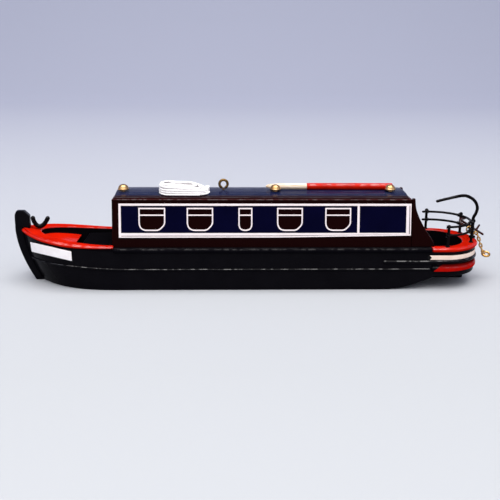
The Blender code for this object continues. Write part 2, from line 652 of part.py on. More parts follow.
def build_cabin(paints):
    """The cabin block, its cambered roof board and the swept wings that end the sides."""
    base = GUNWALE_Z - DECK_BOARD + SEAT_GAP
    corner = CABIN_TOP_Z - CABIN_CORNER
    section = [(CABIN_BASE_HALF_WIDTH, base), (CABIN_BASE_HALF_WIDTH, GUNWALE_Z), (cabin_y(corner), corner)]
    section += [(cabin_y(CABIN_TOP_Z) - CABIN_CORNER, CABIN_TOP_Z)]
    section += [(-y, z) for y, z in reversed(section)]
    loft("cabin", [[(x, y, z) for y, z in section] for x in (CABIN_REAR_X, CABIN_FRONT_X)], paints["maroon"])
    half = CABIN_TOP_HALF_WIDTH - ROOF_MARGIN
    crown = [(-half, CABIN_TOP_Z + SEAT_GAP)]
    for groove in range(ROOF_GROOVES + 1):
        left = -half + 2 * half * groove / (ROOF_GROOVES + 1)
        right = -half + 2 * half * (groove + 1) / (ROOF_GROOVES + 1)
        lips = [left + ROOF_GROOVE_HALF_WIDTH, (left + right) / 2, right - ROOF_GROOVE_HALF_WIDTH]
        if groove == 0:
            lips[0] = left
        if groove == ROOF_GROOVES:
            lips[2] = right
        crown += [(y, roof_z(y)) for y in lips]
        if groove < ROOF_GROOVES:
            crown.append((right, roof_z(right) - ROOF_GROOVE_DEPTH))
    crown.append((half, CABIN_TOP_Z + SEAT_GAP))
    ends = (CABIN_REAR_X + ROOF_REAR_MARGIN, CABIN_FRONT_X - ROOF_FRONT_MARGIN)
    loft("roof", [[(x, y, z) for y, z in crown] for x in ends], paints["blue"], sharp=20)
    outline = [(CABIN_REAR_X - SEAT_GAP, GUNWALE_Z + SEAT_GAP), (CABIN_REAR_X - SEAT_GAP, WING_TOP_Z)]
    outline += list(WING_SWEEP) + [(WING_SWEEP[-1][0], GUNWALE_Z + SEAT_GAP)]
    for side, sign in SIDES:
        rings = []
        for out in (-WING_THICKNESS, 0.0):
            ring = [on_side(x, z, out, sign) for x, z in outline]
            rings.append([(x, y, max(z, GUNWALE_Z + SEAT_GAP)) for x, y, z in ring])
        loft("cabin_wing_" + side, rings, paints["maroon"])


def roof_z(y):
    """Height of the cambered roof at a distance from the centreline."""
    return ROOF_EDGE_Z + ROOF_CAMBER * (1 - (y / CABIN_TOP_HALF_WIDTH) ** 2)


def rectangle(x0, x1, z0, z1):
    return [(x0, z0), (x1, z0), (x1, z1), (x0, z1)]


def window_outline(front, rear, low, high, corner):
    """A window with a flat top and rounded lower corners, as (x, z)."""
    corner = min(corner, (front - rear) / 2 - 0.05)
    arc_rear = [(rear + corner - corner * math.sin(a), low + corner - corner * math.cos(a))
                for a in spread(math.pi / 2, 0.0, 5)]
    arc_front = [(front - corner + corner * math.sin(a), low + corner - corner * math.cos(a))
                 for a in spread(0.0, math.pi / 2, 5)]
    return [(rear, high)] + arc_rear + arc_front + [(front, high)]


def merged_plates(name, outlines, inner, outer, sign, material):
    """Several plates on one side as one cutter."""
    points = []
    faces = []
    for outline in outlines:
        first = len(points)
        count = len(outline)
        points += [on_side(x, z, out, sign) for out in (inner, outer) for x, z in outline]
        faces += [tuple(first + k * count + i for i in range(count)) for k in (0, 1)]
        for i in range(count):
            j = (i + 1) % count
            faces.append((first + i, first + j, first + count + j, first + count + i))
    return add_mesh(name, points, faces, material)


def build_side_panels(paints):
    """Navy panel, white framing and window frames on each side; the panes are the cabin's own paint."""
    for side, sign in SIDES:
        front, rear, low, high = PANEL_FRONT_X, PANEL_REAR_X, PANEL_LOW_Z, PANEL_HIGH_Z
        panel = side_plate("side_panel_" + side, rectangle(rear, front, low, high), SEAT_GAP, PANEL_THICKNESS, sign,
                           paints["navy"])
        holes = []
        for number, (window_front, window_rear) in enumerate(WINDOWS, 1):
            outer = window_outline(window_front, window_rear, WINDOW_LOW_Z, WINDOW_HIGH_Z, WINDOW_CORNER)
            inner = window_outline(window_front - WINDOW_FRAME, window_rear + WINDOW_FRAME,
                                   WINDOW_LOW_Z + WINDOW_FRAME, WINDOW_HIGH_Z - WINDOW_FRAME,
                                   WINDOW_CORNER - WINDOW_FRAME)
            holes.append(inner)
            name = f"window_frame_{side}_{number}"
            frame = side_plate(name, outer, PANEL_THICKNESS + SEAT_GAP, PANEL_THICKNESS + SEAT_GAP + FRAME_PROUD,
                               sign, paints["white"])
            lights = split_window(inner, window_front, window_rear)
            cut(frame, merged_plates(name + "_cutter", lights, 0.1, 1.0, sign, paints["white"]))
        cut(panel, merged_plates("pane_cutter_" + side, holes, -0.5, 1.0, sign, paints["white"]))
        outer = PANEL_THICKNESS + SEAT_GAP
        frame = side_plate("panel_frame_" + side, rectangle(rear, front, low, high), outer, outer + FRAME_PROUD, sign,
                           paints["white"])
        fields = [
            rectangle(DIVIDER_X + DIVIDER_WIDTH / 2, front - FRAME_WIDTH, low + FOOT_FRAME_WIDTH, high - FRAME_WIDTH),
            rectangle(rear + REAR_FRAME_WIDTH, DIVIDER_X - DIVIDER_WIDTH / 2, low + FOOT_FRAME_WIDTH,
                      high - FRAME_WIDTH),
        ]
        cut(frame, merged_plates("field_cutter_" + side, fields, 0.1, 1.0, sign, paints["white"]))


def split_window(inner, front, rear):
    """The two panes above and below a window's bar."""
    half = WINDOW_BAR / 2
    low = [(x, min(z, WINDOW_BAR_Z - half)) for x, z in inner]
    high = WINDOW_HIGH_Z - WINDOW_FRAME
    upper = rectangle(rear + WINDOW_FRAME, front - WINDOW_FRAME, WINDOW_BAR_Z + half, high)
    return [low, upper]


def build_bow_fittings(paints):
    """Blank name boards on the bow and the forked mooring cleat on the fore deck."""
    columns = spread(PLATE_EDGES[-1][0], PLATE_EDGES[0][0], PLATE_COLUMNS)
    for side, sign in SIDES:
        rings = []
        for x in columns:
            low, high = plate_edges(x)
            ring = []
            for out, z in ((STRIP_GAP, low), (PLATE_OUT, low), (PLATE_OUT, high), (STRIP_GAP, high)):
                share = (x - BOW_START_X) / (bow_place(1.0, z)[0] - BOW_START_X)
                px, py, nx, ny = station_point(("bow", share), z)
                ring.append((px + nx * out, sign * (py + ny * out), z))
            rings.append(ring)
        loft("bow_plate_" + side, rings, paints["white"], sharp=50)
    foot = bow_deck_z(CLEAT_X) + CLEAT_WIRE + CLEAT_FOOT_LIFT
    line = list(CLEAT_FORE_ARM) + [(91.2, foot + 0.6), (89.8, foot), (88.3, foot + 0.6)] + list(CLEAT_AFT_ARM)
    wire("bow_cleat", smooth_path([(x, 0, z) for x, z in line], 4), CLEAT_WIRE, paints["wire"])


def plate_edges(x):
    """The name board's lower and upper edge at a place, between the two nearest places given."""
    for (x0, low0, high0), (x1, low1, high1) in zip(PLATE_EDGES, PLATE_EDGES[1:]):
        if x <= x1 + 1e-6:
            share = (x - x0) / (x1 - x0)
            return low0 + (low1 - low0) * share, high0 + (high1 - high0) * share
    return PLATE_EDGES[-1][1:]


def build_roof_fittings(paints):
    """Three brass pins, the screw eye, the rope hank and the boat pole, each standing on the roof."""
    seat = ROOF_EDGE_Z + ROOF_CAMBER + SEAT_GAP
    profile = [(radius, seat + height) for radius, height in PIN_PROFILE]
    for name, x in PINS:
        turned("brass_pin_" + name, profile, (x, PIN_Y), paints["brass"], steps=16)
    centre = seat + EYE_RING_LIFT + EYE_RADIUS + EYE_WIRE
    size = 2 * EYE_RADIUS
    loop = ring_path((EYE_X, 0.0, centre), Vector((1, 0, 0)), Vector((0, 0, 1)), size, size, 20)
    eye = tube("screw_eye", loop, EYE_WIRE, paints["brass"], closed=True)
    shank = [(EYE_X, 0.0, seat), (EYE_X, 0.0, seat + EYE_RING_LIFT + EYE_WIRE)]
    unite(eye, [tube("eye_shank", shank, EYE_WIRE * 0.9, paints["brass"])])
    build_hank(paints)
    height = seat + POLE_RADIUS
    rod = ((POLE_TIP_X, 0.45), (POLE_TIP_X - 1.0, 0.8), (POLE_TIP_X - 4.5, 1.0), (POLE_JOINT_X + SEAT_GAP, SHAFT_RADIUS))
    pole_piece("pole_shaft", rod, height, paints["pine"])
    end_radius = POLE_RADIUS - POLE_END_WEAR
    rod = ((POLE_JOINT_X, POLE_RADIUS), (POLE_END_X + POLE_END_WEAR, POLE_RADIUS), (POLE_END_X, end_radius))
    pole_piece("pole_handle", rod, height, paints["red"])


def build_hank(paints):
    """The rope hank: one round-ended outline, standing on the slope of the roof on its port side."""
    radius = HANK_WIDTH / 2
    run = HANK_LENGTH / 2 - radius
    outline = [(HANK_X + run + radius * math.cos(a), HANK_Y + radius * math.sin(a))
               for a in spread(-math.pi / 2, math.pi / 2, 9)]
    outline += [(HANK_X - run + radius * math.cos(a), HANK_Y + radius * math.sin(a))
                for a in spread(math.pi / 2, 3 * math.pi / 2, 9)]
    slope = -2 * ROOF_CAMBER * HANK_Y / CABIN_TOP_HALF_WIDTH**2
    low = [(x, y, roof_z(HANK_Y) + SEAT_GAP + slope * (y - HANK_Y)) for x, y in outline]
    high = [(x, y, z + HANK_HEIGHT) for x, y, z in low]
    loft("rope_hank", [low, high], paints["cotton"])


def pole_piece(name, profile, height, material, steps=12):
    """A rod along X from its profile of (x, radius)."""
    rings = []
    for x, radius in profile:
        ring = []
        for step in range(steps):
            angle = 2 * math.pi * step / steps
            ring.append((x, POLE_Y + radius * math.cos(angle), height + radius * math.sin(angle)))
        rings.append(ring)
    loft(name, rings, material, sharp=50)


def rail_path(z, steps=21):
    """The stern rail seen from above: an ellipse aft, and a straight run forward on the starboard side."""
    arc = [(RAIL_CENTRE_X - RAIL_LENGTH * math.sin(a), RAIL_HALF_WIDTH * math.cos(a), z)
           for a in spread(0.0, math.pi, steps)]
    return arc + [(RAIL_FRONT_X, -RAIL_HALF_WIDTH, z)]


def build_stern_rails(paints):
    """Two wire rails round the stern deck, carried by four posts just outside them."""
    wire("rail_top", rail_path(RAIL_TOP_Z), RAIL_WIRE, paints["wire"])
    wire("rail_lower", rail_path(RAIL_LOW_Z), RAIL_WIRE, paints["wire"])
    foot = GUNWALE_Z + SEAT_GAP
    for name, angle in RAIL_POSTS:
        out = RAIL_WIRE + POST_WIRE + SEAT_GAP
        x = RAIL_CENTRE_X - (RAIL_LENGTH + out) * math.sin(angle)
        y = (RAIL_HALF_WIDTH + out) * math.cos(angle)
        wire("rail_post_" + name, [(x, y, foot), (x, y, POST_TOP_Z)], POST_WIRE, paints["wire"])


def build_tiller(paints):
    """The swan-necked tiller, its origin on the axis that it turns about in the collar on the stern deck."""
    collar = [(COLLAR_RADIUS, GUNWALE_Z + COLLAR_HEIGHT), (COLLAR_RADIUS, GUNWALE_Z + SEAT_GAP)]
    made = turned("tiller_collar", collar, (TILLER_X, 0.0), paints["wire"], steps=16)
    bore_radius = TILLER_WIRE + COLLAR_PLAY
    bore = [(bore_radius, GUNWALE_Z + 2 * COLLAR_HEIGHT), (bore_radius, GUNWALE_Z - COLLAR_HEIGHT)]
    cut(made, turned("collar_cutter", bore, (TILLER_X, 0.0), paints["wire"], steps=16))
    line = smooth_path([(x, 0.0, z) for x, z in TILLER_LINE], 3)
    tiller = tube("tiller", [(0.0, 0.0, GUNWALE_Z + 2 * SEAT_GAP)] + line, TILLER_WIRE, paints["wire"])
    bead = turned("tiller_bead", TILLER_BEAD, (0.0, 0.0), paints["wire"], steps=14)
    for item in (tiller, bead):
        item.location = (TILLER_X * MM, 0.0, 0.0)
    unite(tiller, [bead])


def tube(name, points, radius, material, closed=False, sides=8):
    """A round bar as a mesh along points in millimetres, closed into a ring where asked."""
    places = [Vector(point) for point in points]
    count = len(places)
    rings = []
    across = None
    for i, place in enumerate(places):
        before = places[i - 1] if closed or i else place
        after = places[(i + 1) % count] if closed or i + 1 < count else place
        along = (after - before).normalized()
        if across is None:
            across = along.orthogonal().normalized()
        across = (across - along * across.dot(along)).normalized()
        beside = along.cross(across)
        turns = [2 * math.pi * k / sides for k in range(sides)]
        rings.append([place + radius * (math.cos(a) * across + math.sin(a) * beside) for a in turns])
    if not closed:
        return loft(name, rings, material)
    corners = [corner for ring in rings for corner in ring]
    faces = []
    for i in range(count):
        for k in range(sides):
            j, m = (i + 1) % count, (k + 1) % sides
            faces.append((i * sides + k, i * sides + m, j * sides + m, j * sides + k))
    return add_mesh(name, corners, faces, material)


def ring_path(centre, long_way, wide_way, length, width, steps):
    """A link's centre line: two half circles joined by straight sides."""
    radius = width / 2
    straight = (length - width) / 2
    points = []
    for step in range(steps):
        angle = 2 * math.pi * (step + 0.5) / steps
        shift = straight if math.sin(angle) > 0 else -straight
        points.append(Vector(centre) + long_way * (radius * math.sin(angle) + shift)
                      + wide_way * (radius * math.cos(angle)))
    return points


def build_anchor(paints):
    """The anchor lying across the stern rails: shank, curved arms with palms, stock and ring."""
    crown = Vector(ANCHOR_CROWN)
    ring_end = Vector(ANCHOR_RING_END)
    along = (ring_end - crown).normalized()
    stock = Vector(ANCHOR_STOCK_WAY)
    stock = (stock - along * stock.dot(along)).normalized()
    arm = Vector(ANCHOR_ARM_WAY)
    arm = (arm - along * arm.dot(along)).normalized()
    shank = tube("anchor", [crown, ring_end], ANCHOR_WIRE, paints["rust"])
    arc = [crown + along * (ANCHOR_ARM_RADIUS * (1 - math.cos(a))) + arm * (ANCHOR_ARM_RADIUS * math.sin(a))
           for a in spread(-ANCHOR_ARM_TURN, ANCHOR_ARM_TURN, 9)]
    added = [tube("anchor_arms", arc, ANCHOR_WIRE, paints["rust"])]
    middle = crown + (ring_end - crown) * ANCHOR_STOCK_SHARE
    ends = [middle - stock * ANCHOR_STOCK_HALF, middle + stock * ANCHOR_STOCK_HALF]
    added.append(tube("anchor_stock", ends, ANCHOR_STOCK_WIRE, paints["rust"]))
    for number, tip in enumerate((arc[0], arc[-1])):
        inward = (arc[1] - arc[0] if number == 0 else arc[-2] - arc[-1]).normalized()
        across = along.cross(arm)
        flat = inward.cross(across).normalized()
        base = tip + inward * PALM_LENGTH
        outline = [tip - inward * PALM_TIP, base + across * PALM_HALF_WIDTH, base - across * PALM_HALF_WIDTH]
        palm = [[corner + flat * shift for corner in outline] for shift in (-PALM_HALF_THICKNESS, PALM_HALF_THICKNESS)]
        added.append(loft(f"anchor_palm_{number}", palm, paints["rust"]))
    unite(shank, added)


def along_path(path, share):
    """The place and direction at a share of a path's length."""
    lengths = [0.0]
    for a, b in zip(path, path[1:]):
        lengths.append(lengths[-1] + (b - a).length)
    wanted = share * lengths[-1]
    spot = max(i for i, length in enumerate(lengths[:-1]) if length <= wanted)
    part = (wanted - lengths[spot]) / (lengths[spot + 1] - lengths[spot])
    return path[spot].lerp(path[spot + 1], part), (path[spot + 1] - path[spot]).normalized(), lengths[-1]


def build_chain(paints):
    """The brass chain from a ring on the lower rail down behind the stern, and the heavy ring on its end."""
    path = smooth_path(CHAIN_ROUTE, 12)
    count = round(along_path(path, 0.0)[2] / CHAIN_PITCH)
    length = CHAIN_LINK_LENGTH - 2 * CHAIN_WIRE
    width = CHAIN_LINK_WIDTH - 2 * CHAIN_WIRE
    across = Vector((0.0, 1.0, 0.0))
    links = []
    for number in range(count + 1):
        place, along, _ = along_path(path, number / count)
        side = along.cross(across).normalized()
        wide = across if number % 2 == 0 else side
        wide = (wide - along * wide.dot(along)).normalized()
        wide = (wide + along.cross(wide) * CHAIN_LINK_TWIST).normalized()
        route = ring_path(place, along, wide, length, width, 10)
        links.append(tube(f"chain_link_{number}", route, CHAIN_WIRE, paints["brass"], closed=True, sides=6))
    size = CHAIN_RAIL_RING_SIZE
    rail_ring = ring_path(CHAIN_RAIL_RING, Vector((0, 0, 1)), Vector((1, 0, 0)), size, size, 14)
    links.append(tube("chain_rail_ring", rail_ring, CHAIN_WIRE, paints["brass"], closed=True, sides=6))
    size = CHAIN_END_RING_SIZE
    end_ring = ring_path(CHAIN_END_RING, Vector((1, 0, 0)), Vector(CHAIN_END_RING_TILT).normalized(), size, size, 18)
    chain = tube("stern_chain", end_ring, CHAIN_END_RING_WIRE, paints["brass"], closed=True, sides=8)
    unite(chain, links)


def main():
    clear_scene()
    paints = make_paints()
    build_hull(paints)
    build_stem(paints)
    build_skeg(paints)
    build_guards(paints)
    build_decks(paints)
    build_fore_well(paints)
    build_cabin(paints)
    build_side_panels(paints)
    build_bow_fittings(paints)
    build_roof_fittings(paints)
    build_stern_rails(paints)
    build_tiller(paints)
    build_anchor(paints)
    build_chain(paints)


main()
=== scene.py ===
# %% [markdown]
# # A small wooden model of a narrowboat
#
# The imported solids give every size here. The frame is +X to the bow, +Y to port and +Z up, with the origin on
# the flat bottom amidships. All sizes below are in millimetres, and `MM` turns them into Blender's metres.

# %% Load the frame
import math

import bpy
import numpy as np
from mathutils import Matrix


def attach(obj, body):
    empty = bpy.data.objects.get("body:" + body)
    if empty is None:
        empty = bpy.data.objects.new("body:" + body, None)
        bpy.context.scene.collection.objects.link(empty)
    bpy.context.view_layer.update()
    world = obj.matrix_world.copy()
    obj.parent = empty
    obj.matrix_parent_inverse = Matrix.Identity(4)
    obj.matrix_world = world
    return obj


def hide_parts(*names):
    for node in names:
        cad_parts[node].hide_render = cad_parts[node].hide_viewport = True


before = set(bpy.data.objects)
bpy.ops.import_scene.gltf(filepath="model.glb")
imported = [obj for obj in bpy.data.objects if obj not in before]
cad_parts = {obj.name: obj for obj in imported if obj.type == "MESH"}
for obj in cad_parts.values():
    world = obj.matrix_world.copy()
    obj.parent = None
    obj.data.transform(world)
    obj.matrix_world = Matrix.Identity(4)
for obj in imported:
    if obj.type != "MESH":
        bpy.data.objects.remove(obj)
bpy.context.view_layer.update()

MM = 0.001

# %% [markdown]
# ## Camera
#
# A pinhole fit to the model's own corners puts the camera a third of a metre off the port side and 15 degrees above
# the deck. It could be framed by eye, but with a fitted camera every difference left is one of shape or finish.

# %% Camera
FOCAL_PIXELS, PICTURE_PIXELS, SHIFT_PIXELS = 791.31, 500, -0.5
SENSOR = 36.0
CAMERA_PLACE = (11.34, 333.04, 103.94)
PITCH, YAW, ROLL = (math.radians(angle) for angle in (15.28, -2.04, 0.46))


def unit(vector):
    """The vector divided by its own length."""
    vector = np.asarray(vector, float)
    return vector / np.linalg.norm(vector)


def stand(name, data, ways, place):
    """A new object whose local x, y and z are three ways in space, at a place in millimetres."""
    made = bpy.data.objects.new(name, data)
    rows = [(ways[0][i], ways[1][i], ways[2][i], place[i] * MM) for i in range(3)]
    made.matrix_world = Matrix(rows + [(0, 0, 0, 1)])
    bpy.context.scene.collection.objects.link(made)
    return made


def add_camera():
    """A pinhole camera from its place and its turns: down by the pitch, round by the yaw and over by the roll."""
    ahead = np.array([math.sin(YAW) * math.cos(PITCH), -math.cos(YAW) * math.cos(PITCH), -math.sin(PITCH)])
    level = np.array([-math.cos(YAW), -math.sin(YAW), 0.0])
    above = np.cross(level, ahead)
    right = math.cos(ROLL) * level + math.sin(ROLL) * above
    up = -math.sin(ROLL) * level + math.cos(ROLL) * above
    data = bpy.data.cameras.new("camera")
    data.sensor_width = SENSOR
    data.lens = SENSOR * FOCAL_PIXELS / PICTURE_PIXELS
    data.shift_y = SHIFT_PIXELS / PICTURE_PIXELS
    data.clip_start, data.clip_end = 0.01, 20
    bpy.context.scene.camera = stand("camera", data, (right, up, -ahead), CAMERA_PLACE)
    print(f"camera: a {data.lens:.1f} mm lens on a {SENSOR:.0f} mm sensor")


add_camera()

# %% [markdown]
# ## Colours and shader nodes
#
# Colours are sRGB hex values, as a paint chart gives them, and `linear` turns them into the linear light that
# Blender mixes. A material is a graph of nodes, and `add_node` adds any of them with its settings and links.


def linear(hex_colour):
    """A linear RGBA colour from an sRGB hex code: x/12.92 below 0.04045, else ((x + 0.055)/1.055) to the 2.4."""
    parts = [int(hex_colour[i:i + 2], 16) / 255 for i in (1, 3, 5)]
    return tuple(p / 12.92 if p <= 0.04045 else ((p + 0.055) / 1.055) ** 2.4 for p in parts) + (1.0,)


def plug(tree, node, inputs):
    """Fills a node's sockets: with a value, with another node's socket or with another node's first one in use."""
    for key, value in inputs.items():
        if isinstance(value, bpy.types.Node):
            value = next(socket for socket in value.outputs if socket.enabled)
        if isinstance(value, bpy.types.NodeSocket):
            tree.links.new(value, node.inputs[key])
        else:
            node.inputs[key].default_value = value


def add_node(tree, kind, inputs=None, **settings):
    """One shader node with its settings by name and its sockets by name or number."""
    made = tree.nodes.new(kind)
    for key, value in settings.items():
        setattr(made, key, value)
    plug(tree, made, inputs or {})
    return made


def new_material(name):
    """A node material with its tree, its principled shader and its object coordinates."""
    made = bpy.data.materials.new(name)
    made.use_nodes = True
    print(f"material: {name}")
    tree = made.node_tree
    return made, tree, tree.nodes["Principled BSDF"], add_node(tree, "ShaderNodeTexCoord").outputs["Object"]


# %% [markdown]
# ## Lights
#
# The light is that of a pale tent: a broad panel above does most of it, a key panel and a fainter one stand in
# front, and two low ones fill the ends. Small lamps would give gloss paint hard white dots, and broad panels give it
# the long soft glints that it shows here.

# %% Lights
ROOM_COLOUR, ROOM_STRENGTH = "#C9CCDE", 0.7
# Each panel's place, the point that it faces, its width and height, its power in watts and its colour.
PANELS = {"panel above": ((0, 60, 1200), (0, 0, 0), (1300, 800), 15.0, "#FFFDFA"),
          "key panel": ((40, 380, 500), (0, 0, 15), (700, 350), 2.3, "#FFFBF6"),
          "front panel": ((60, 640, 300), (0, 0, 20), (900, 400), 0.4, "#FFF8F2"),
          "side left": ((520, 260, 330), (40, 0, 20), (300, 400), 0.3, "#F4F6FF"),
          "side right": ((-520, 260, 300), (-40, 0, 20), (300, 400), 0.3, "#F4F6FF")}


def add_room():
    """An even pale glow from all round, and plain display colours."""
    world = bpy.data.worlds.new("pale room")
    world.use_nodes = True
    plug(world.node_tree, world.node_tree.nodes["Background"],
         {"Color": linear(ROOM_COLOUR), "Strength": ROOM_STRENGTH})
    bpy.context.scene.world = world
    bpy.context.scene.view_settings.view_transform = "Standard"


def add_panel(name, place, aim, size, power, colour):
    """A soft rectangular light whose back points away from what it faces."""
    data = bpy.data.lights.new(name, "AREA")
    data.shape = "RECTANGLE"
    data.size, data.size_y = size[0] * MM, size[1] * MM
    data.energy = power
    data.color = linear(colour)[:3]
    back = -unit(np.subtract(aim, place))
    side = unit(np.cross((0.0, 1.0, 0.0) if abs(back[2]) > 0.9 else (0.0, 0.0, 1.0), back))
    stand(name, data, (side, np.cross(back, side), back), place)


add_room()
for name, panel in PANELS.items():
    add_panel(name, *panel)
print(f"{len(PANELS)} panels, {sum(panel[3] for panel in PANELS.values()):.1f} W in all")

# %% [markdown]
# ## From grids to meshes
#
# Every surface starts as a numpy grid of points, rows by columns. `quads` joins its neighbours into faces, and
# `skin` closes the ends as well and turns the shell to face outwards. The same shapes could be modelled by hand, but
# as grids they stay numbers that can be measured and changed.

# %% From grids to meshes
def quads(rows, columns, ring=False, wrap=True):
    """Faces over points numbered row by row: wrap joins the last column to the first, ring the last row."""
    i = np.arange(rows if ring else rows - 1)[:, None]
    j = np.arange(columns if wrap else columns - 1)[None, :]
    ahead, beside = (i + 1) % rows, (j + 1) % columns
    corners = (i * columns + j, i * columns + beside, ahead * columns + beside, ahead * columns + j)
    return np.stack(np.broadcast_arrays(*corners), -1).reshape(-1, 4).tolist()


def skin(grid, ring=False, ladder=False):
    """A closed shell over rows x columns x 3 points: columns wrap round, rows wrap if ring, else both ends are capped.

    A cap is a fan about the row's mean point, or with ladder it joins point k to point n - 1 - k.
    """
    grid = np.asarray(grid, float)
    rows, columns = grid.shape[:2]
    points, faces = grid.reshape(-1, 3), quads(rows, columns, ring)
    last = (rows - 1) * columns
    if ladder:
        rungs = [list(dict.fromkeys((k, k + 1, columns - 2 - k, columns - 1 - k))) for k in range((columns - 1) // 2)]
        faces += [rung[::-1] for rung in rungs] + [[last + k for k in rung] for rung in rungs]
    elif not ring:
        points = np.vstack([points, grid[0].mean(0), grid[-1].mean(0)])
        here = np.arange(columns)
        after = np.roll(here, -1)
        tip = np.full(columns, rows * columns)
        faces += np.stack([after, here, tip], -1).tolist()
        faces += np.stack([here + last, after + last, tip + 1], -1).tolist()
    return outward(points, faces)


def outward(points, faces):
    """The shell with its faces turned round if the volume that they enclose comes out negative."""
    triangles = np.array([(face[0], face[k], face[k + 1]) for face in faces for k in range(1, len(face) - 1)])
    a, b, c = (points[triangles[:, n]] for n in range(3))
    if np.einsum("ij,ij->i", a, np.cross(b, c)).sum() < 0:
        faces = [face[::-1] for face in faces]
    return points, faces


print(f"a ring of 8 x 5 points has {len(quads(8, 5, ring=True))} faces, a tube of them {len(quads(8, 5))}")

# %% [markdown]
# ## Pieces
#
# A piece may be many shells, as a chain is many links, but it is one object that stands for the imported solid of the
# same name and rides on its body. Smooth shading with crisp edges past one angle suits painted wood; a Bevel
# modifier on each piece would soften edges that the real paint keeps sharp.

# %% Pieces
SHARP = 40  # edges that turn by more degrees than this stay crisp


def mirrored(shell):
    """The same shell on the other side of the centreline."""
    return shell[0] * (1, -1, 1), [face[::-1] for face in shell[1]]


def make(node, shells, material, body="boat", sharp=SHARP, replaces=True):
    """One piece from its shells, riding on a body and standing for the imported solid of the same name."""
    starts = np.cumsum([0] + [len(points) for points, faces in shells]).tolist()
    faces = [[first + corner for corner in face] for first, shell in zip(starts, shells) for face in shell[1]]
    mesh = bpy.data.meshes.new("fine_" + node)
    mesh.from_pydata((np.vstack([points for points, _ in shells]) * MM).tolist(), [], faces)
    mesh.materials.append(material)
    mesh.shade_smooth()
    mesh.set_sharp_from_angle(angle=math.radians(sharp))
    made = bpy.data.objects.new("fine_" + node, mesh)
    bpy.context.scene.collection.objects.link(made)
    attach(made, body)
    if replaces:
        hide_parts(node)
    print(f"{made.name}: {len(faces)} faces, {material.name}")
    return made


def make_pair(node, shells, material, number=""):
    """The port piece and its mirror image to starboard."""
    make(f"{node}_port{number}", shells, material)
    make(f"{node}_starboard{number}", [mirrored(shell) for shell in shells], material)


# %% [markdown]
# ## Floor
#
# A roll of matt paper lies flat under the model and sweeps up behind it, so that no horizon shows. One sheet makes
# both. It is a neutral grey near the camera, and its colour is painted paler and bluer with distance: painted light,
# standing in for the extra light of the room on the far paper.

# %% Floor
NEAR_Y, BACK_Y, SWEEP, HALF_WIDTH, TOP_Z = 1200, -900, 800, 3000, 3000


def add_floor():
    """The sheet, level to its back line, then a quarter circle of the sweep's radius and a wall."""
    turn = np.linspace(0, math.pi / 2, 12)
    y = np.concatenate([np.linspace(NEAR_Y, BACK_Y, 40), BACK_Y - SWEEP * np.sin(turn), np.full(6, BACK_Y - SWEEP)])
    z = np.concatenate([np.zeros(40), SWEEP * (1 - np.cos(turn)), np.linspace(SWEEP + 200, TOP_Z, 6)])
    x = np.linspace(-HALF_WIDTH, HALF_WIDTH, 30)
    grid = np.stack(np.broadcast_arrays(x[None], y[:, None], z[:, None]), -1)
    mesh = bpy.data.meshes.new("floor")
    faces = quads(len(y), len(x), wrap=False)
    mesh.from_pydata((grid.reshape(-1, 3) * MM).tolist(), [], [face[::-1] for face in faces])
    mesh.shade_smooth()
    material, tree, shader, coordinates = new_material("matt paper sweep")
    grain = add_node(tree, "ShaderNodeTexNoise", {"Vector": coordinates, "Scale": 3.0, "Detail": 2.0})
    place = add_node(tree, "ShaderNodeSeparateXYZ", {"Vector": coordinates})
    # Painted light: the colour turns paler and bluer from 0.1 m towards the camera to 0.9 m behind the model.
    far = add_node(tree, "ShaderNodeMapRange", {"Value": place.outputs["Y"], "From Min": 0.1, "From Max": -0.9})
    near = add_node(tree, "ShaderNodeMix", {"Factor": grain, "A": linear("#B0B3B6"), "B": linear("#B2B5B8")},
                    data_type="RGBA")
    tint = add_node(tree, "ShaderNodeMix", {"Factor": far, "A": near, "B": linear("#CDD0DF")}, data_type="RGBA")
    plug(tree, shader, {"Base Color": tint, "Roughness": 0.75, "Specular IOR Level": 0.2})
    mesh.materials.append(material)
    floor = bpy.data.objects.new("floor", mesh)
    bpy.context.scene.collection.objects.link(floor)
    print(f"floor: {len(faces)} faces")


add_floor()

# %% [markdown]
# ## Glints
#
# Gloss enamel glints where it rolls over an edge and runs smooth, and hand-brushed paint does so only in places. So
# the specular level follows how far a face leans, broken up by a noise. Wear painted by hand along every edge would
# look much the same, but it would have to be done again after each change of shape.

# %% Glints
ALONG = (0.16, 1, 1)  # how marks are drawn out along X
ALIKE = (1, 1, 1)


def per_mm(size):
    """The scale that gives a texture features of this many millimetres in an object measured in metres."""
    return 1 / (size * MM)


def broken_glint(tree, coordinates, upward, run, gaps, flat, crown):
    """Specular level from flat to crown: high where faces lean, times a streak noise with gaps in it."""
    edge = add_node(tree, "ShaderNodeValToRGB", {"Fac": upward})
    stops = edge.color_ramp.elements
    stops[0].position, stops[1].position = 0.2, 0.97
    for position in (0.42, 0.88):
        stops.new(position).color = (1, 1, 1, 1)
    stops[0].color = stops[-1].color = (0, 0, 0, 1)
    streak = add_node(tree, "ShaderNodeTexNoise", {"Vector": coordinates, "Scale": per_mm(run), "Detail": 2.0})
    broken = add_node(tree, "ShaderNodeMapRange", {"Value": streak, "From Min": gaps, "From Max": 0.6, "To Min": 0.1})
    product = add_node(tree, "ShaderNodeMath", {0: edge, 1: broken}, operation="MULTIPLY")
    return add_node(tree, "ShaderNodeMapRange", {"Value": product, "To Min": flat, "To Max": crown})


print(f"glints 4 mm long need a noise scale of {per_mm(4.0):.0f}, brush marks 1.1 mm wide one of {per_mm(1.1):.0f}")

# %% [markdown]
# ## Brushed enamel
#
# The model is painted with small brushes in gloss enamel. Such paint has a slow change of tone, shallow brush marks
# drawn out along the boat, and the glints above. One function mixes all three from noises, whose scales come from
# real sizes. An image of the paint would need unwrapping and would show its pixels.

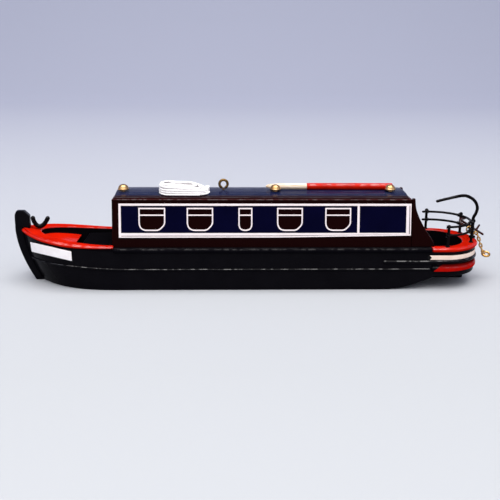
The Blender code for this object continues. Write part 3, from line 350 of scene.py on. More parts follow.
# %% Brushed enamel
def enamel(name, colours, roughness, patch=7.0, marks=1.1, depth=0.01, flat=0.04, crown=1.0, run=4.0, gaps=0.42,
           stretch=ALONG, metallic=0.0, over=()):
    """Brushed paint: colour = mix(first, second, cloud noise), with the brush's noise for roughness and relief.

    patch, marks, run and depth are millimetres: the size of the clouds, the brush marks and the glints, and the
    marks' depth. over lists further colours as (colour, measure, painted, clear): each covers the paint where its
    measure is at painted and is gone where it is at clear.
    """
    made, tree, shader, coordinates = new_material(name)
    cloud = add_node(tree, "ShaderNodeTexNoise", {"Vector": coordinates, "Scale": per_mm(patch), "Detail": 4.0})
    spread = add_node(tree, "ShaderNodeMapRange", {"Value": cloud, "From Min": 0.32, "From Max": 0.7})
    tint = add_node(tree, "ShaderNodeMix", {"Factor": spread, "A": linear(colours[0]), "B": linear(colours[1])},
                    data_type="RGBA")
    normal = add_node(tree, "ShaderNodeTexCoord").outputs["Normal"]
    upward = add_node(tree, "ShaderNodeSeparateXYZ", {"Vector": normal}).outputs["Z"]
    place = add_node(tree, "ShaderNodeSeparateXYZ", {"Vector": coordinates})
    for colour, measure, painted, clear in over:
        share = add_node(tree, "ShaderNodeMapRange", {"Value": measure(tree, place, upward), "From Min": painted,
                                                      "From Max": clear})
        tint = add_node(tree, "ShaderNodeMix", {"Factor": share, "A": linear(colour), "B": tint}, data_type="RGBA")
    drawn_out = add_node(tree, "ShaderNodeMapping", {"Vector": coordinates, "Scale": stretch})
    brush = add_node(tree, "ShaderNodeTexNoise", {"Vector": drawn_out, "Scale": per_mm(marks), "Detail": 3.0})
    gloss = add_node(tree, "ShaderNodeMapRange", {"Value": brush, "From Min": 0.3, "From Max": 0.75,
                                                  "To Min": roughness[0], "To Max": roughness[1]})
    relief = add_node(tree, "ShaderNodeBump", {"Height": brush, "Strength": 1.0, "Distance": depth * MM})
    plug(tree, shader, {"Base Color": tint, "Roughness": gloss, "Normal": relief, "Metallic": metallic})
    if not metallic:
        plug(tree, shader, {"Specular IOR Level": broken_glint(tree, coordinates, upward, run, gaps, flat, crown)})
    return made


# %% [markdown]
# ## Where one colour meets another
#
# Some pieces carry two colours. The maroon margin round the blue roof and the black arrow heads that start the
# stern's bands are paint. The locker's near black sides and the dark top of the counter's red band are painted shade,
# and the redder maroon where it faces up is a painted highlight. A measure of the place, such as its height or the
# way a face leans, tells the colours apart. Separate pieces for each patch of colour would show a step that no real
# coat of paint has.

# %% Where one colour meets another
def leaning_up(tree, place, upward):
    """How far a face leans upwards: its normal's z, 0 when upright and 1 when level."""
    return upward


def height_of(tree, place, upward):
    """The place's height, z."""
    return place.outputs["Z"]


def off_centre(tree, place, upward):
    """How far the place lies from the centreline: |y|."""
    return add_node(tree, "ShaderNodeMath", {0: place.outputs["Y"]}, operation="ABSOLUTE")


def arrow_head(z, slope):
    """A measure that is the same all along a V with its tip at a height: x - slope * |z - tip|."""
    def measure(tree, place, upward):
        """The size of z - tip, times minus the slope, plus x."""
        off = add_node(tree, "ShaderNodeMath", {0: place.outputs["Z"], 1: z * MM}, operation="SUBTRACT")
        size = add_node(tree, "ShaderNodeMath", {0: off}, operation="ABSOLUTE")
        return add_node(tree, "ShaderNodeMath", {0: size, 1: -slope, 2: place.outputs["X"]}, operation="MULTIPLY_ADD")
    return measure


UPRIGHT, LYING = 0.3, 0.7  # the lean at which a face counts as a side, and as a top

# %% [markdown]
# ## Paints
#
# Each paint is a real one: its colours are read and matched under the lights, its roughness starts from 0.1
# to 0.3 for gloss enamel and 0.3 to 0.5 for satin, and its glints are tuned to the piece. Level paint mirrors the
# panel above and would turn grey, so its specular level stays low.

# %% Blacks
COAL, SOOT = ("#09080C", "#0C0B0F"), ("#08070A", "#0B0A0D")
# Brushed gloss on wood: deep, with a faint glint where an edge rolls over.
BLACK = enamel("black gloss enamel on wood", COAL, (0.14, 0.26), depth=0.008, flat=0.02, crown=0.4)
# One thin coat in the wells: no gloss to speak of.
DEEP_BLACK = enamel("black enamel in the wells", SOOT, (0.3, 0.45), flat=0.0, crown=0.1)
# Worn gloss on the deck's edge: short grey glints.
GUARD_BLACK = enamel("black enamel on the deck's edge", COAL, (0.16, 0.3), flat=0.0, crown=0.16,
                     run=3.0, gaps=0.46)
# Full gloss on thin strips: bright dashes with gaps between them.
STRIP_BLACK = enamel("black gloss enamel on strips", COAL, (0.1, 0.2), flat=0.02, run=2.5, depth=0.006,
                     gaps=0.48)
# Dipped wire: rounder and softer than brushed wood, with marks that run no way.
WIRE = enamel("black enamel on wire", ("#080708", "#110E10"), (0.2, 0.36), patch=3.0, stretch=ALIKE,
              flat=0.01, crown=0.18, run=2.0, depth=0.006)

# %% Reds
# Brushed gloss on the decks: orange red that shines along its lips.
RED = enamel("orange red enamel on wood", ("#C61C08", "#AC1206"), (0.1, 0.24), patch=5.0, flat=0.0,
             run=2.5, depth=0.02)
# Crimson on the counter, with a painted shadow of the guard above: its top fades to near black. A black arrow head
# marks where it starts.
BAND_RED = enamel("crimson enamel on the counter", ("#BC110A", "#A40D07"), (0.12, 0.24), patch=5.0,
                  flat=0.0, crown=0.45, run=2.5, depth=0.008,
                  over=[("#0C0505", height_of, 11.3 * MM, 8.8 * MM),
                        ("#08070A", arrow_head(8.3, -1.3), -76.95 * MM, -77.05 * MM)])
# The locker's lid is the brightest red, and its upright faces are painted near black: painted shade on its sides.
LOCKER_RED = enamel("bright orange red enamel on wood", ("#D01B05", "#C41805"), (0.2, 0.34), patch=5.0,
                    flat=0.0, over=[("#0A0606", leaning_up, UPRIGHT, LYING)])
# Red brown on iron: thin, uneven paint that lets the casting's grain through.
IRON = enamel("red brown enamel on iron", ("#3A0E0C", "#210807"), (0.25, 0.5), patch=1.6,
              stretch=ALIKE, flat=0.08, crown=0.8, run=1.5, depth=0.015)

# %% Pale paints
# Warm cream round the stern: satin, brushed, with a black arrow head where it starts.
CREAM = enamel("cream enamel on wood", ("#FBE6D6", "#F0D8C6"), (0.3, 0.5), patch=4.0, flat=0.1,
               crown=0.4, over=[("#08070A", arrow_head(14.05, 0.95), -75.95 * MM, -76.05 * MM)])
# Printed card for the linings: flat, even and a little pink under these lights.
WHITE = enamel("white printed card lining", ("#EDE2E2", "#E6DADA"), (0.35, 0.5), patch=4.0,
               depth=0.004, flat=0.1, crown=0.3)
# Satin enamel on the small boards: the whitest paint of the model.
PLATE = enamel("white enamel on small boards", ("#FFFCFB", "#F8F2F1"), (0.35, 0.5), patch=4.0,
               flat=0.1, crown=0.3)

# %% Cabin paints
# Satin card: almost no brush marks and no glint.
NAVY = enamel("navy satin card", ("#050521", "#04041C"), (0.3, 0.42), patch=9.0, depth=0.004, flat=0.01)
# Gloss maroon with a painted highlight and painted shade by the way a face leans: redder where it faces up and near
# black on the upright sides, with broken glints along the eaves.
MAROON = enamel("maroon enamel on wood", ("#2C0808", "#340B0B"), (0.14, 0.3), flat=0.015, crown=0.4,
                run=2.5, depth=0.012, gaps=0.44, over=[("#150404", leaning_up, UPRIGHT, LYING)])
# Dark blue gloss over the planks: the roof's maroon margin begins 9.2 mm from the centreline.
ROOF_BLUE = enamel("dark blue roof enamel", ("#131B3A", "#0C1231"), (0.12, 0.26), flat=0.05, crown=0.2,
                   depth=0.02, over=[("#1E0A10", off_centre, 9.3 * MM, 9.1 * MM)])

# %% [markdown]
# ## Brass
#
# Brass is a metal, so its colour is that of its reflections and it keeps the default IOR. The pins are turned and
# polished, the chain is thinly plated and the old screw eye has gone dull and dark.

# %% Brass
BRASS = enamel("polished brass", ("#D9B380", "#B98A54"), (0.16, 0.34), patch=2.2, marks=0.5, depth=0.006,
               stretch=ALIKE, metallic=1.0)
CHAIN_BRASS = enamel("bright brass plating", ("#E0B877", "#A77B45"), (0.16, 0.3), patch=1.2, marks=0.5,
                     depth=0.004, stretch=ALIKE, metallic=1.0)
EYE = enamel("dull dark brass", ("#8A6A3C", "#3A2B18"), (0.25, 0.5), patch=0.9, marks=0.4, stretch=ALIKE,
             metallic=1.0)

# %% [markdown]
# ## Cotton and pine
#
# Two finishes have no paint. Cotton string is matt, with fibres of a fifth of a millimetre and a pale sheen at its
# edges. The pole's shaft is a bare dowel, whose growth lines lie half a millimetre apart along X.

# %% Cotton and pine
def string_material():
    """Soft white cotton: fine fibres as relief, with a little warm painted shade between them."""
    made, tree, shader, coordinates = new_material("white cotton string")
    fibre = add_node(tree, "ShaderNodeTexNoise", {"Vector": coordinates, "Scale": per_mm(0.22), "Detail": 5.0,
                                                  "Roughness": 0.7})
    tint = add_node(tree, "ShaderNodeMix", {"Factor": fibre, "A": linear("#F8F2F1"), "B": linear("#FFFFFF")},
                    data_type="RGBA")
    relief = add_node(tree, "ShaderNodeBump", {"Height": fibre, "Strength": 1.0, "Distance": 0.06 * MM})
    plug(tree, shader, {"Base Color": tint, "Normal": relief, "Roughness": 0.95, "Specular IOR Level": 0.15,
                        "Sheen Weight": 0.4})
    return made


def pine_material():
    """Bare dowel: growth lines drawn out along X, from brown to pale wood, under open pores."""
    made, tree, shader, coordinates = new_material("bare pine dowel")
    drawn_out = add_node(tree, "ShaderNodeMapping", {"Vector": coordinates, "Scale": (0.07, 1, 1)})
    lines = add_node(tree, "ShaderNodeTexNoise", {"Vector": drawn_out, "Scale": per_mm(0.55), "Detail": 6.0,
                                                  "Distortion": 0.4})
    ramp = add_node(tree, "ShaderNodeValToRGB", {"Fac": lines})
    for stop, position, colour in zip(ramp.color_ramp.elements, (0.36, 0.62), ("#D2AE86", "#FFF0DC")):
        stop.position, stop.color = position, linear(colour)
    relief = add_node(tree, "ShaderNodeBump", {"Height": lines, "Strength": 1.0, "Distance": 0.02 * MM})
    plug(tree, shader, {"Base Color": ramp, "Normal": relief, "Roughness": 0.55})
    return made


COTTON, PINE = string_material(), pine_material()

# %% [markdown]
# ## Paths
#
# String, wire and chain all follow a path: a smooth curve through a few knots, cut into even steps. Blender's own
# curves could do this, but a computed path can be measured, eased and roughened before any mesh is made.

# %% Paths
def catmull(knots, per_span=12):
    """A smooth curve through the knots: each span blends its four nearest knots with cubic weights of t."""
    knots = np.asarray(knots, float)
    ends = np.vstack([2 * knots[0] - knots[1], knots, 2 * knots[-1] - knots[-2]])
    t = (np.arange(per_span) / per_span)[None, :, None]
    a, b, c, d = (ends[k:len(ends) - 3 + k, None, :] for k in range(4))
    path = 0.5 * (2 * b + (c - a) * t + (2 * a - 5 * b + 4 * c - d) * t**2 + (3 * b - a - 3 * c + d) * t**3)
    return np.vstack([path.reshape(-1, knots.shape[1]), knots[-1]])


def lengths_of(path):
    """The distance along a path at each of its points: the running sum of its steps' lengths."""
    return np.concatenate([[0.0], np.cumsum(np.linalg.norm(np.diff(path, axis=0), axis=1))])


def resample(path, places):
    """The points of a path at distances along it, by straight interpolation between its own points."""
    length = lengths_of(path)
    return np.stack([np.interp(places, length, path[:, k]) for k in range(path.shape[1])], -1)


def evenly(path, count):
    """The same path as this many points, all of its steps equally long."""
    return resample(path, np.linspace(0, lengths_of(path)[-1], count))


def smoothed(path, reach):
    """A path averaged along itself with a bell curve exp(-(d/reach)**2 / 2), its ends carried on straight."""
    step = lengths_of(path)[-1] / (len(path) - 1)
    count = int(3 * reach / step)
    weight = np.exp(-0.5 * (np.arange(-count, count + 1) * step / reach) ** 2)
    run = np.arange(1, count + 1)[:, None]
    longer = np.vstack([path[0] - (run * (path[1] - path[0]))[::-1], path, path[-1] + run * (path[-1] - path[-2])])
    return np.stack([np.convolve(longer[:, k], weight / weight.sum(), "valid") for k in range(3)], -1)


def ripple(places, seed, size, depth):
    """Smooth seeded noise along a path: the mean of six sines of random length and phase, times 1.6 depth."""
    rng = np.random.default_rng(seed)
    waves = [np.sin(places * 2 * math.pi / (size * rng.uniform(0.6, 1.8)) + rng.uniform(0, 7)) for _ in range(6)]
    return np.mean(waves, axis=0) * depth * 1.6


print(f"a curve through 3 knots has {len(catmull([(0, 0, 0), (1, 1, 0), (2, 0, 0)]))} points")

# %% [markdown]
# ## Tubes
#
# A tube is a ring of points carried along a path and kept square to it. A curve's bevel would give a round one just
# as well, but here the rings can also swell as three twisted strands do.

# %% Tubes
def tube_grid(path, radius, up, sides=14, closed=False, lobes=0.0, twist=0.0):
    """Rings round a path, each radius * (cos a * side + sin a * lift) and square to the path.

    With lobes the radius swells as 1 + lobes * cos 3(a - twist): three strands laid round each other.
    """
    step = np.roll(path, -1, 0) - np.roll(path, 1, 0) if closed else np.gradient(path, axis=0)
    along = step / np.linalg.norm(step, axis=1, keepdims=True)
    side = np.cross(along, np.asarray(up, float))
    side /= np.linalg.norm(side, axis=1, keepdims=True)
    lift = np.cross(side, along)
    angle = np.linspace(0, 2 * math.pi, sides, endpoint=False)[None, :]
    swell = 1 + lobes * np.cos(3 * (angle - np.reshape(twist, (-1, 1))))
    radius = np.broadcast_to(np.asarray(radius, float), (len(path),))[:, None] * swell
    return path[:, None] + radius[..., None] * (np.cos(angle)[..., None] * side[:, None]
                                                + np.sin(angle)[..., None] * lift[:, None])


print(f"a tube's grid: {tube_grid(evenly(np.eye(3)[:2], 4), 1.0, (0, 0, 1)).shape} for 4 points of path")

# %% [markdown]
# ## The string's winding
#
# The roof carries a hank of three-ply string. It is one line: five layers of oval turns, wound inwards and then
# outwards a diameter apart, with the last turns shorter and nearer the bow so that the hank falls away aft. Three
# turns are figures of eight, as a hand winds them, and their runs cross in the middle. A lump with a string texture
# would be quicker, but only a real line has ends, crossings and a length.

# %% The string's winding
CORD = 0.75
STRING_STEP = 0.24
BEND_REACH = 0.9  # how far along itself the path is eased
HANK_CENTRE = (27.2, 6.0)
HANK_FLOOR = (39.164, -0.0952)  # height at the hank's middle, and its slope to port, on the cambered roof
LAYER = 0.72
LAYER_SPREAD = 0.3  # how much further apart the layers lie at the bow end
# Each row: turns wound so far, radius of the fold, layer number, shift to the bow, run.
WINDING = ((0.0, 4.4, 0.0, 0.0, 12.8), (3.0, 2.3, 0.0, 0.0, 12.8), (3.5, 2.6, 1.0, 0.2, 12.6),
           (5.5, 4.1, 1.0, 0.3, 12.4), (6.0, 3.9, 2.0, 0.7, 12.0), (8.2, 2.3, 2.0, 0.9, 11.6),
           (8.7, 2.6, 3.0, 1.6, 10.8), (10.2, 3.5, 3.0, 1.9, 10.2), (10.7, 3.2, 4.0, 2.6, 9.2),
           (12.3, 2.3, 4.0, 2.9, 8.6), (12.68, 2.3, 4.1, 2.9, 8.6))
CROSSED_FROM = (2.4, 7.4, 11.4)  # turns wound where a figure of eight starts, each one turn long
CROSS_LIFT = 0.38
TAIL = ((24.4, 3.9, 43.2), (21.6, 4.3, 42.5), (19.3, 4.9, 41.7))


def oval(share, radius, run, crossed):
    """A point on an oval of two runs and two folds, at a share of its length: (x, y, lift).

    Crossed, each run goes over to the other side, as y = radius * (t - 0.5 - cos(pi t) / 2), and the after fold is
    turned round. The lift, sin(pi t) ** 2, takes one diagonal over the other.
    """
    bend = math.pi * radius
    place = (share % 1.0) * 2 * (run + bend)
    out, back = place / run, (place - run - bend) / run
    first = (place - run) / radius
    second = (place - 2 * run - bend) / radius
    parts = [place < run, place < run + bend, place < 2 * run + bend]
    x = np.select(parts, [place - run / 2, run / 2 + radius * np.sin(first), run / 2 - back * run],
                  -run / 2 - radius * np.sin(second))
    over, across = (t - 0.5 - np.cos(math.pi * t) / 2 for t in (out, back))
    y = radius * np.select(parts, [np.where(crossed, over, 1), np.cos(first), np.where(crossed, across, -1)],
                           np.where(crossed, 1, -1) * np.cos(second))
    lift = crossed * np.select(parts, [np.sin(math.pi * out) ** 2, 0 * out, -np.sin(math.pi * back) ** 2], 0)
    return x, y, lift


# %% [markdown]
# ## The string's path
#
# The winding table is read at every share of a turn, and the oval's point is lifted onto its layer. Slow ripples of
# a tenth of a millimetre keep the turns from lying like wire, and a bell curve along the path eases the bends,
# because a soft string can't turn a sharp corner.

# %% The string's path
def hank_path():
    """The string's centreline: the oval's radius, run and height follow the winding table turn by turn."""
    turns, radius, layer, shift, run = np.array(WINDING).T
    place = np.linspace(0, turns[-1], int(turns[-1] * 90))
    crossed = np.any([(place > start) & (place < start + 1) for start in CROSSED_FROM], axis=0)
    x, y, lift = oval(place, np.interp(place, turns, radius), np.interp(place, turns, run), crossed)
    x = x + np.interp(place, turns, shift) + ripple(place, 3, 0.9, 0.1)
    y = y + ripple(place, 4, 0.8, 0.08)
    layer = np.interp(place, turns, layer)
    height = LAYER * (1 + LAYER_SPREAD * np.clip((x + 7) / 13, 0, 1)) * layer
    height += CROSS_LIFT * (lift + np.abs(lift) * np.interp(layer, [0, 2, 4], [1, 0.2, 0]))
    z = HANK_FLOOR[0] + HANK_FLOOR[1] * y + CORD / 2 + 0.06 + height + ripple(place, 5, 0.7, 0.03)
    coil = np.stack([x + HANK_CENTRE[0], y + HANK_CENTRE[1], z], -1)
    tail = catmull([coil[-1], coil[-1] + 1.2 * unit(coil[-1] - coil[-4]), *TAIL], 20)
    path = smoothed(evenly(np.vstack([coil[:-1], tail[1:]]), 3000), BEND_REACH)
    return evenly(path, int(lengths_of(path)[-1] / STRING_STEP))


string_path = hank_path()
string_length = lengths_of(string_path)[-1]
print(f"string: {string_length:.0f} mm of {CORD} mm cord in {WINDING[-1][0]:.1f} turns")

# %% [markdown]
# ## The string and its knot
#
# The tube round the path has three soft lobes that turn once every 2.6 mm, like the string's three strands. The
# string ends in a small overhand knot, a trefoil.

# %% The string and its knot
LAY_LENGTH = 2.6
LOBES = 0.12
KNOT_PLACE, KNOT_SIZE = (17.75, 5.1, 41.1), 0.42


def trefoil(centre, size, radius):
    """A small overhand knot as a closed tube: (-1.3 sin 3t, 0.8 (sin t + 2 sin 2t), 0.8 (cos t - 2 cos 2t))."""
    t = np.linspace(0, 2 * math.pi, 120, endpoint=False)
    path = np.stack([-1.3 * np.sin(3 * t), 0.8 * (np.sin(t) + 2 * np.sin(2 * t)),
                     0.8 * (np.cos(t) - 2 * np.cos(2 * t))], -1) * size + centre
    return skin(tube_grid(path, radius, path - centre, 12, closed=True, lobes=LOBES, twist=8 * t), ring=True)


string_twist = 2 * math.pi * np.linspace(0, string_length, len(string_path)) / LAY_LENGTH
string = make("rope_hank", [skin(tube_grid(string_path, CORD / 2, (0, 0, 1), 12, lobes=LOBES, twist=string_twist))],
              COTTON, sharp=180)
knot = make("hank_knot", [trefoil(np.array(KNOT_PLACE), KNOT_SIZE, CORD / 2)], COTTON, sharp=180, replaces=False)

# %% [markdown]
# ## The hull's lines
#
# A few curves in side view give the hull its character: the raked stem, the deck's sheer towards the bow, and the
# flat bottom with its run up to the counter. A drawn spline could follow them as well, but a short formula can be
# asked for any place, as the decks, the guards and the stem do.

# %% The hull's lines
STEM_FRONT_X, STEM_DEPTH, STEM_HALF_WIDTH = 100.0, 3.4, 1.5
BOW_START_X, STERN_CENTRE_X, STERN_LENGTH = 52.0, -82.0, 16.6
CABIN_FRONT_X, CABIN_REAR_X, PAINT_X = 56.5, -67.6, -76.05  # aft of the last, the decks and bands are red
GUNWALE_Z, DECK_BOARD, COUNTER_Z = 18.3, 1.5, 5.7
STEM_RAKE, RAKE_TOP_Z = 7.6, 23
SHEER_RISE, SHEER_LENGTH, BOW_BOARD_RISE = 5.2, 41.1, 0.6
RUN_START_X, RUN_LENGTH = -55, 22.5
BEAM, FLARE = 17.3, 0.35  # half the beam at the bottom, and how much wider it is at the gunwale


def stem_x(z):
    """The stem's front: 100 - 7.6 * (1 - z/23) ** 1.8 below 23 mm."""
    return STEM_FRONT_X - STEM_RAKE * np.clip(1 - z / RAKE_TOP_Z, 0, 1) ** 1.8


def deck_z(x):
    """The deck's height, rising by 5.2 * ((x - 56.5)/41.1) ** 1.6 towards the bow."""
    return GUNWALE_Z + SHEER_RISE * np.clip((x - CABIN_FRONT_X) / SHEER_LENGTH, 0, None) ** 1.6


def bow_deck_z(x):
    """The top of the bow's board, which is 0.6 mm thicker at the cabin than at the stem."""
    return deck_z(x) + BOW_BOARD_RISE * (1 - np.clip((x - CABIN_FRONT_X) / SHEER_LENGTH, 0, 1))


def gunwale(x):
    """The gunwale's height, the same at every x."""
    return np.full_like(x, GUNWALE_Z)


def bottom_z(x):
    """Flat bottom, then the run: 5.7 * ((-55 - x)/22.5) ** 2, up to the counter."""
    return COUNTER_Z * np.clip((RUN_START_X - x) / RUN_LENGTH, 0, 1) ** 2


def half_beam(z):
    """Half the beam amidships: 17.3 at the bottom and 0.35 more at the gunwale, growing evenly with the height."""
    return BEAM + FLARE * np.clip(z / GUNWALE_Z, 0, 1)


print(f"half beam {half_beam(GUNWALE_Z):.2f} mm, deck from {GUNWALE_Z} to {deck_z(STEM_FRONT_X):.1f} mm high")

# %% [markdown]
# ## The hull's side
#
# The side is one function of a station number `s` and a height `z`: `s` runs from 0 at the stem to 1 where the
# sides become parallel, 2 where the stern's ellipse starts and 3 at the sternmost point. The hull, every guard
# and both decks are drawn from it, so they fit each other all the way round. Fitting separate meshes together by
# eye would leave gaps at the bow.

# %% The hull's side
def side_place(s, z):
    """(x, y) of the port side at a station and height; the bow is 1.5 + (beam - 1.5) * (1 - share ** power)."""
    share = np.clip(1 - s, 0, 1)
    power = 3.0 + 1.8 * np.clip(z / GUNWALE_Z, 0, 1)
    x_bow = BOW_START_X + (stem_x(z) - STEM_DEPTH - BOW_START_X) * share
    y_bow = STEM_HALF_WIDTH + (half_beam(z) - STEM_HALF_WIDTH) * (1 - share**power)
    x_side = BOW_START_X + (STERN_CENTRE_X - BOW_START_X) * (s - 1)
    turn = (s - 2) * math.pi / 2
    x = np.where(s < 1, x_bow, np.where(s < 2, x_side, STERN_CENTRE_X - STERN_LENGTH * np.sin(turn)))
    y = np.where(s < 1, y_bow, np.where(s < 2, half_beam(z), half_beam(z) * np.cos(turn)))
    return x, y


def hull_side(s, z, out=0.0):
    """A point standing out from the port side, its normal in plan being the side's direction turned by 90 degrees."""
    s, z = np.broadcast_arrays(np.asarray(s, float), np.asarray(z, float))
    x, y = side_place(s, z)
    x1, y1 = side_place(s + 0.002, z)
    x0, y0 = side_place(s - 0.002, z)
    size = np.hypot(x1 - x0, y1 - y0)
    return np.stack([x + out * (y1 - y0) / size, y - out * (x1 - x0) / size, z], -1)


def station_at(x):
    """The station number of a place along the gunwale."""
    s = np.linspace(0, 2, 4001)
    return float(np.interp(-x, -side_place(s, GUNWALE_Z)[0], s))


print(f"the cabin's front is at station {station_at(CABIN_FRONT_X):.3f}")

# %% [markdown]
# ## The wells
#
# The fore well is a long rounded V and the stern cockpit a half ellipse. Each outline is one function with a margin,
# because the deck boards, the linings and what stands in the wells all keep to the same line. Tracing each of them
# on its own would be less work only until the first change.

# %% The wells
WELL_FRONT_X, WELL_WIDEST_X, WELL_HALF_WIDTH = 89.0, 50, 15.0
COCKPIT_LENGTH, COCKPIT_HALF_WIDTH = 10.8, 14.4


def fore_well(margin, count=60):
    """The port half of the bow well from the cabin to its front: y = 15 * sqrt(1 - ((x - 50)/39) ** 2.6)."""
    front = WELL_FRONT_X - margin
    x = CABIN_FRONT_X + (front - CABIN_FRONT_X) * (1 - (1 - np.linspace(0, 1, count)) ** 2)
    share = (x - WELL_WIDEST_X) / (front - WELL_WIDEST_X)
    return np.stack([x, (WELL_HALF_WIDTH - margin) * np.sqrt(np.clip(1 - share**2.6, 0, 1))], -1)


def cockpit(margin, front_x, count=40):
    """The port half of the stern cockpit: a straight side, then a quarter ellipse 10.8 long and 14.4 wide."""
    turn = np.linspace(0, math.pi / 2, count)
    width = COCKPIT_HALF_WIDTH - margin
    arc = np.stack([STERN_CENTRE_X - (COCKPIT_LENGTH - margin) * np.sin(turn), width * np.cos(turn)], -1)
    return np.vstack([[front_x, width], arc])


def both_sides(half):
    """A port outline that ends on the centreline, carried on down the starboard side."""
    return np.vstack([half, half[::-1][1:] * (1, -1)])


print(f"fore well {WELL_FRONT_X - CABIN_FRONT_X:.1f} mm long and {2 * WELL_HALF_WIDTH:.0f} mm wide")

# %% [markdown]
# ## Carving
#
# The hollows are cut out of a block, as on the real model, and so are the window holes in the cards. A grid could be
# laid out round each hole by hand, but a Boolean does it where two shapes meet at no shared row of points. Its result
# becomes the piece's own mesh, so nothing is left to be worked out later.

# %% Carving
def carve(piece, cutters):
    """Takes each cutter's shell out of a piece for good, with a Boolean whose result becomes its mesh."""
    made = []
    for number, (points, faces) in enumerate(cutters):
        mesh = bpy.data.meshes.new(f"cutter_{number}")
        mesh.from_pydata((points * MM).tolist(), [], faces)
        cutter = bpy.data.objects.new(f"cutter_{number}", mesh)
        bpy.context.scene.collection.objects.link(cutter)
        modifier = piece.modifiers.new("cut", "BOOLEAN")
        modifier.operation, modifier.solver, modifier.object = "DIFFERENCE", "EXACT", cutter
        made.append(cutter)
    result = bpy.data.meshes.new_from_object(piece.evaluated_get(bpy.context.evaluated_depsgraph_get()))
    result.set_sharp_from_angle(angle=math.radians(SHARP))
    piece.modifiers.clear()
    piece.data = result
    for cutter in made:
        bpy.data.objects.remove(cutter)
    print(f"{piece.name}: {len(result.polygons)} faces after {len(cutters)} cuts")


# %% [markdown]
# ## The hull's block
#
# The real hull is carved from one piece of wood. Here it is a stack of outlines, from the rising bottom with its
# softened edge up to the underside of the decks. A block bent with a lattice would be quicker to start, but its bow
# and counter would not keep to the line that the guards are drawn from.

# %% The hull's block
BILGE = 0.5
WELL_FLOOR, COCKPIT_FLOOR, CUT_TOP = 12.5, 9.0, 30.0


def build_hull():
    """Levels from the rising bottom to the decks' underside; the bilge is a quarter circle of half a millimetre."""
    s = np.concatenate([1 - (1 - np.linspace(0, 1, 70)) ** 0.62, np.linspace(1, 2, 120)[1:], np.linspace(2, 3, 50)[1:]])
    x = side_place(s, GUNWALE_Z)[0]
    low = np.where(s < 2, bottom_z(x), COUNTER_Z)
    top = np.where(s < 1, deck_z(x), GUNWALE_Z) - DECK_BOARD
    turn = np.linspace(0, math.pi / 2, 5)
    rows = [hull_side(s, low + BILGE * (1 - math.cos(a)), -BILGE * (1 - math.sin(a))) for a in turn]
    rows += [hull_side(s, low + BILGE + (top - low - BILGE) * share) for share in np.linspace(0, 1, 18)[1:]]
    port = np.array(rows)
    starboard = port[:, -2::-1] * (1, -1, 1)
    hull = make("hull", [skin(np.concatenate([port, starboard], 1), ladder=True)], BLACK)
    wells = ((both_sides(fore_well(0.0)), WELL_FLOOR), (both_sides(cockpit(0.0, CABIN_REAR_X)), COCKPIT_FLOOR))
    carve(hull, [skin([np.column_stack([outline, np.full(len(outline), z)]) for z in (floor, CUT_TOP)], ladder=True)
                 for outline, floor in wells])


build_hull()

# %% [markdown]
# ## Outlines
#
# Many pieces are an outline with rounded corners and a thickness. `inset` moves such an outline inwards, and `slab`
# stacks inset copies of it, so that an edge is eased as sandpaper or thick paint eases it. A Bevel modifier would
# do the same, but not on a face that bends with the hull.

# %% Outlines
def rounded(corners, steps=5):
    """A closed outline whose corners are (a, b, radius): each is a quadratic curve that starts a radius away."""
    points = []
    count = len(corners)
    for i, (a, b, reach) in enumerate(corners):
        here = np.array([a, b], float)
        before = np.array(corners[i - 1][:2], float) - here
        after = np.array(corners[(i + 1) % count][:2], float) - here
        reach = min(reach, np.linalg.norm(before) / 2.01, np.linalg.norm(after) / 2.01)
        if reach < 1e-3:
            points.append(here)
            continue
        first, last = here + unit(before) * reach, here + unit(after) * reach
        points += [(1 - t) ** 2 * first + 2 * t * (1 - t) * here + t * t * last for t in np.linspace(0, 1, steps)]
    return np.array(points)


def inset(outline, amount):
    """A closed outline moved inwards by an amount, each corner along the sum of its two edges' normals."""
    edge = np.roll(outline, -1, 0) - outline
    normal = np.stack([edge[:, 1], -edge[:, 0]], -1) / np.maximum(np.linalg.norm(edge, axis=1, keepdims=True), 1e-9)
    x, y = outline.T
    if (x * np.roll(y, -1) - np.roll(x, -1) * y).sum() > 0:
        normal = -normal
    before = np.roll(normal, 1, 0)
    both = normal + before
    return outline + amount * both / np.maximum(1 + (normal * before).sum(1, keepdims=True), 0.3)


def slab(outline, levels, place):
    """A shell over a closed outline: at each (inset, height) the outline shrinks, and place puts it in space."""
    return skin([np.stack(place(*inset(outline, shrink).T, height), -1) for shrink, height in levels])


def lying(x, y, z):
    """An outline in plan whose levels are heights."""
    return x, y, np.full_like(x, z)


def upright(x, z, y):
    """An outline in side view whose levels lie across the boat."""
    return x, np.full_like(x, y), z


print(f"a square with rounded corners has {len(rounded([(0, 0, 1), (4, 0, 1), (4, 4, 1), (0, 4, 1)]))} points")

# %% [markdown]
# ## Stem post and skeg
#
# The stem post is a board on edge that caps the hull's front and stands above the deck, with its corners worn
# round. It is drawn as rungs between its front and its back, which follow two different curves; an extruded side
# view would have the same thickness of wear all round. The skeg is a thin plate under the counter, and a slab does.

# %% Stem post and skeg
STEM_LEVELS = (0.0, 3.0, 6.0, 10.0, 14.0, 18.0, 21.0)
STEM_HEAD_FRONT = [(99.97, 23.4), (99.96, 24.0), (99.96, 24.8), (99.96, 26.8), (99.93, 28.3), (99.75, 29.0),
                   (99.42, 29.7), (99.15, 30.2), (98.9, 30.34)]
STEM_HEAD_BACK = [(93.8, 26.2), (93.8, 28.1), (94.25, 28.75), (95.05, 29.52), (95.7, 30.12), (96.0, 30.34)]
STEM_WEAR = 0.45
SKEG = [(-76.0, 4.5, 0.3), (-78.5, 0.3, 0.8), (-94.6, 0.3, 0.6), (-94.6, 5.65, 0.2), (-77.5, 5.65, 0.2)]


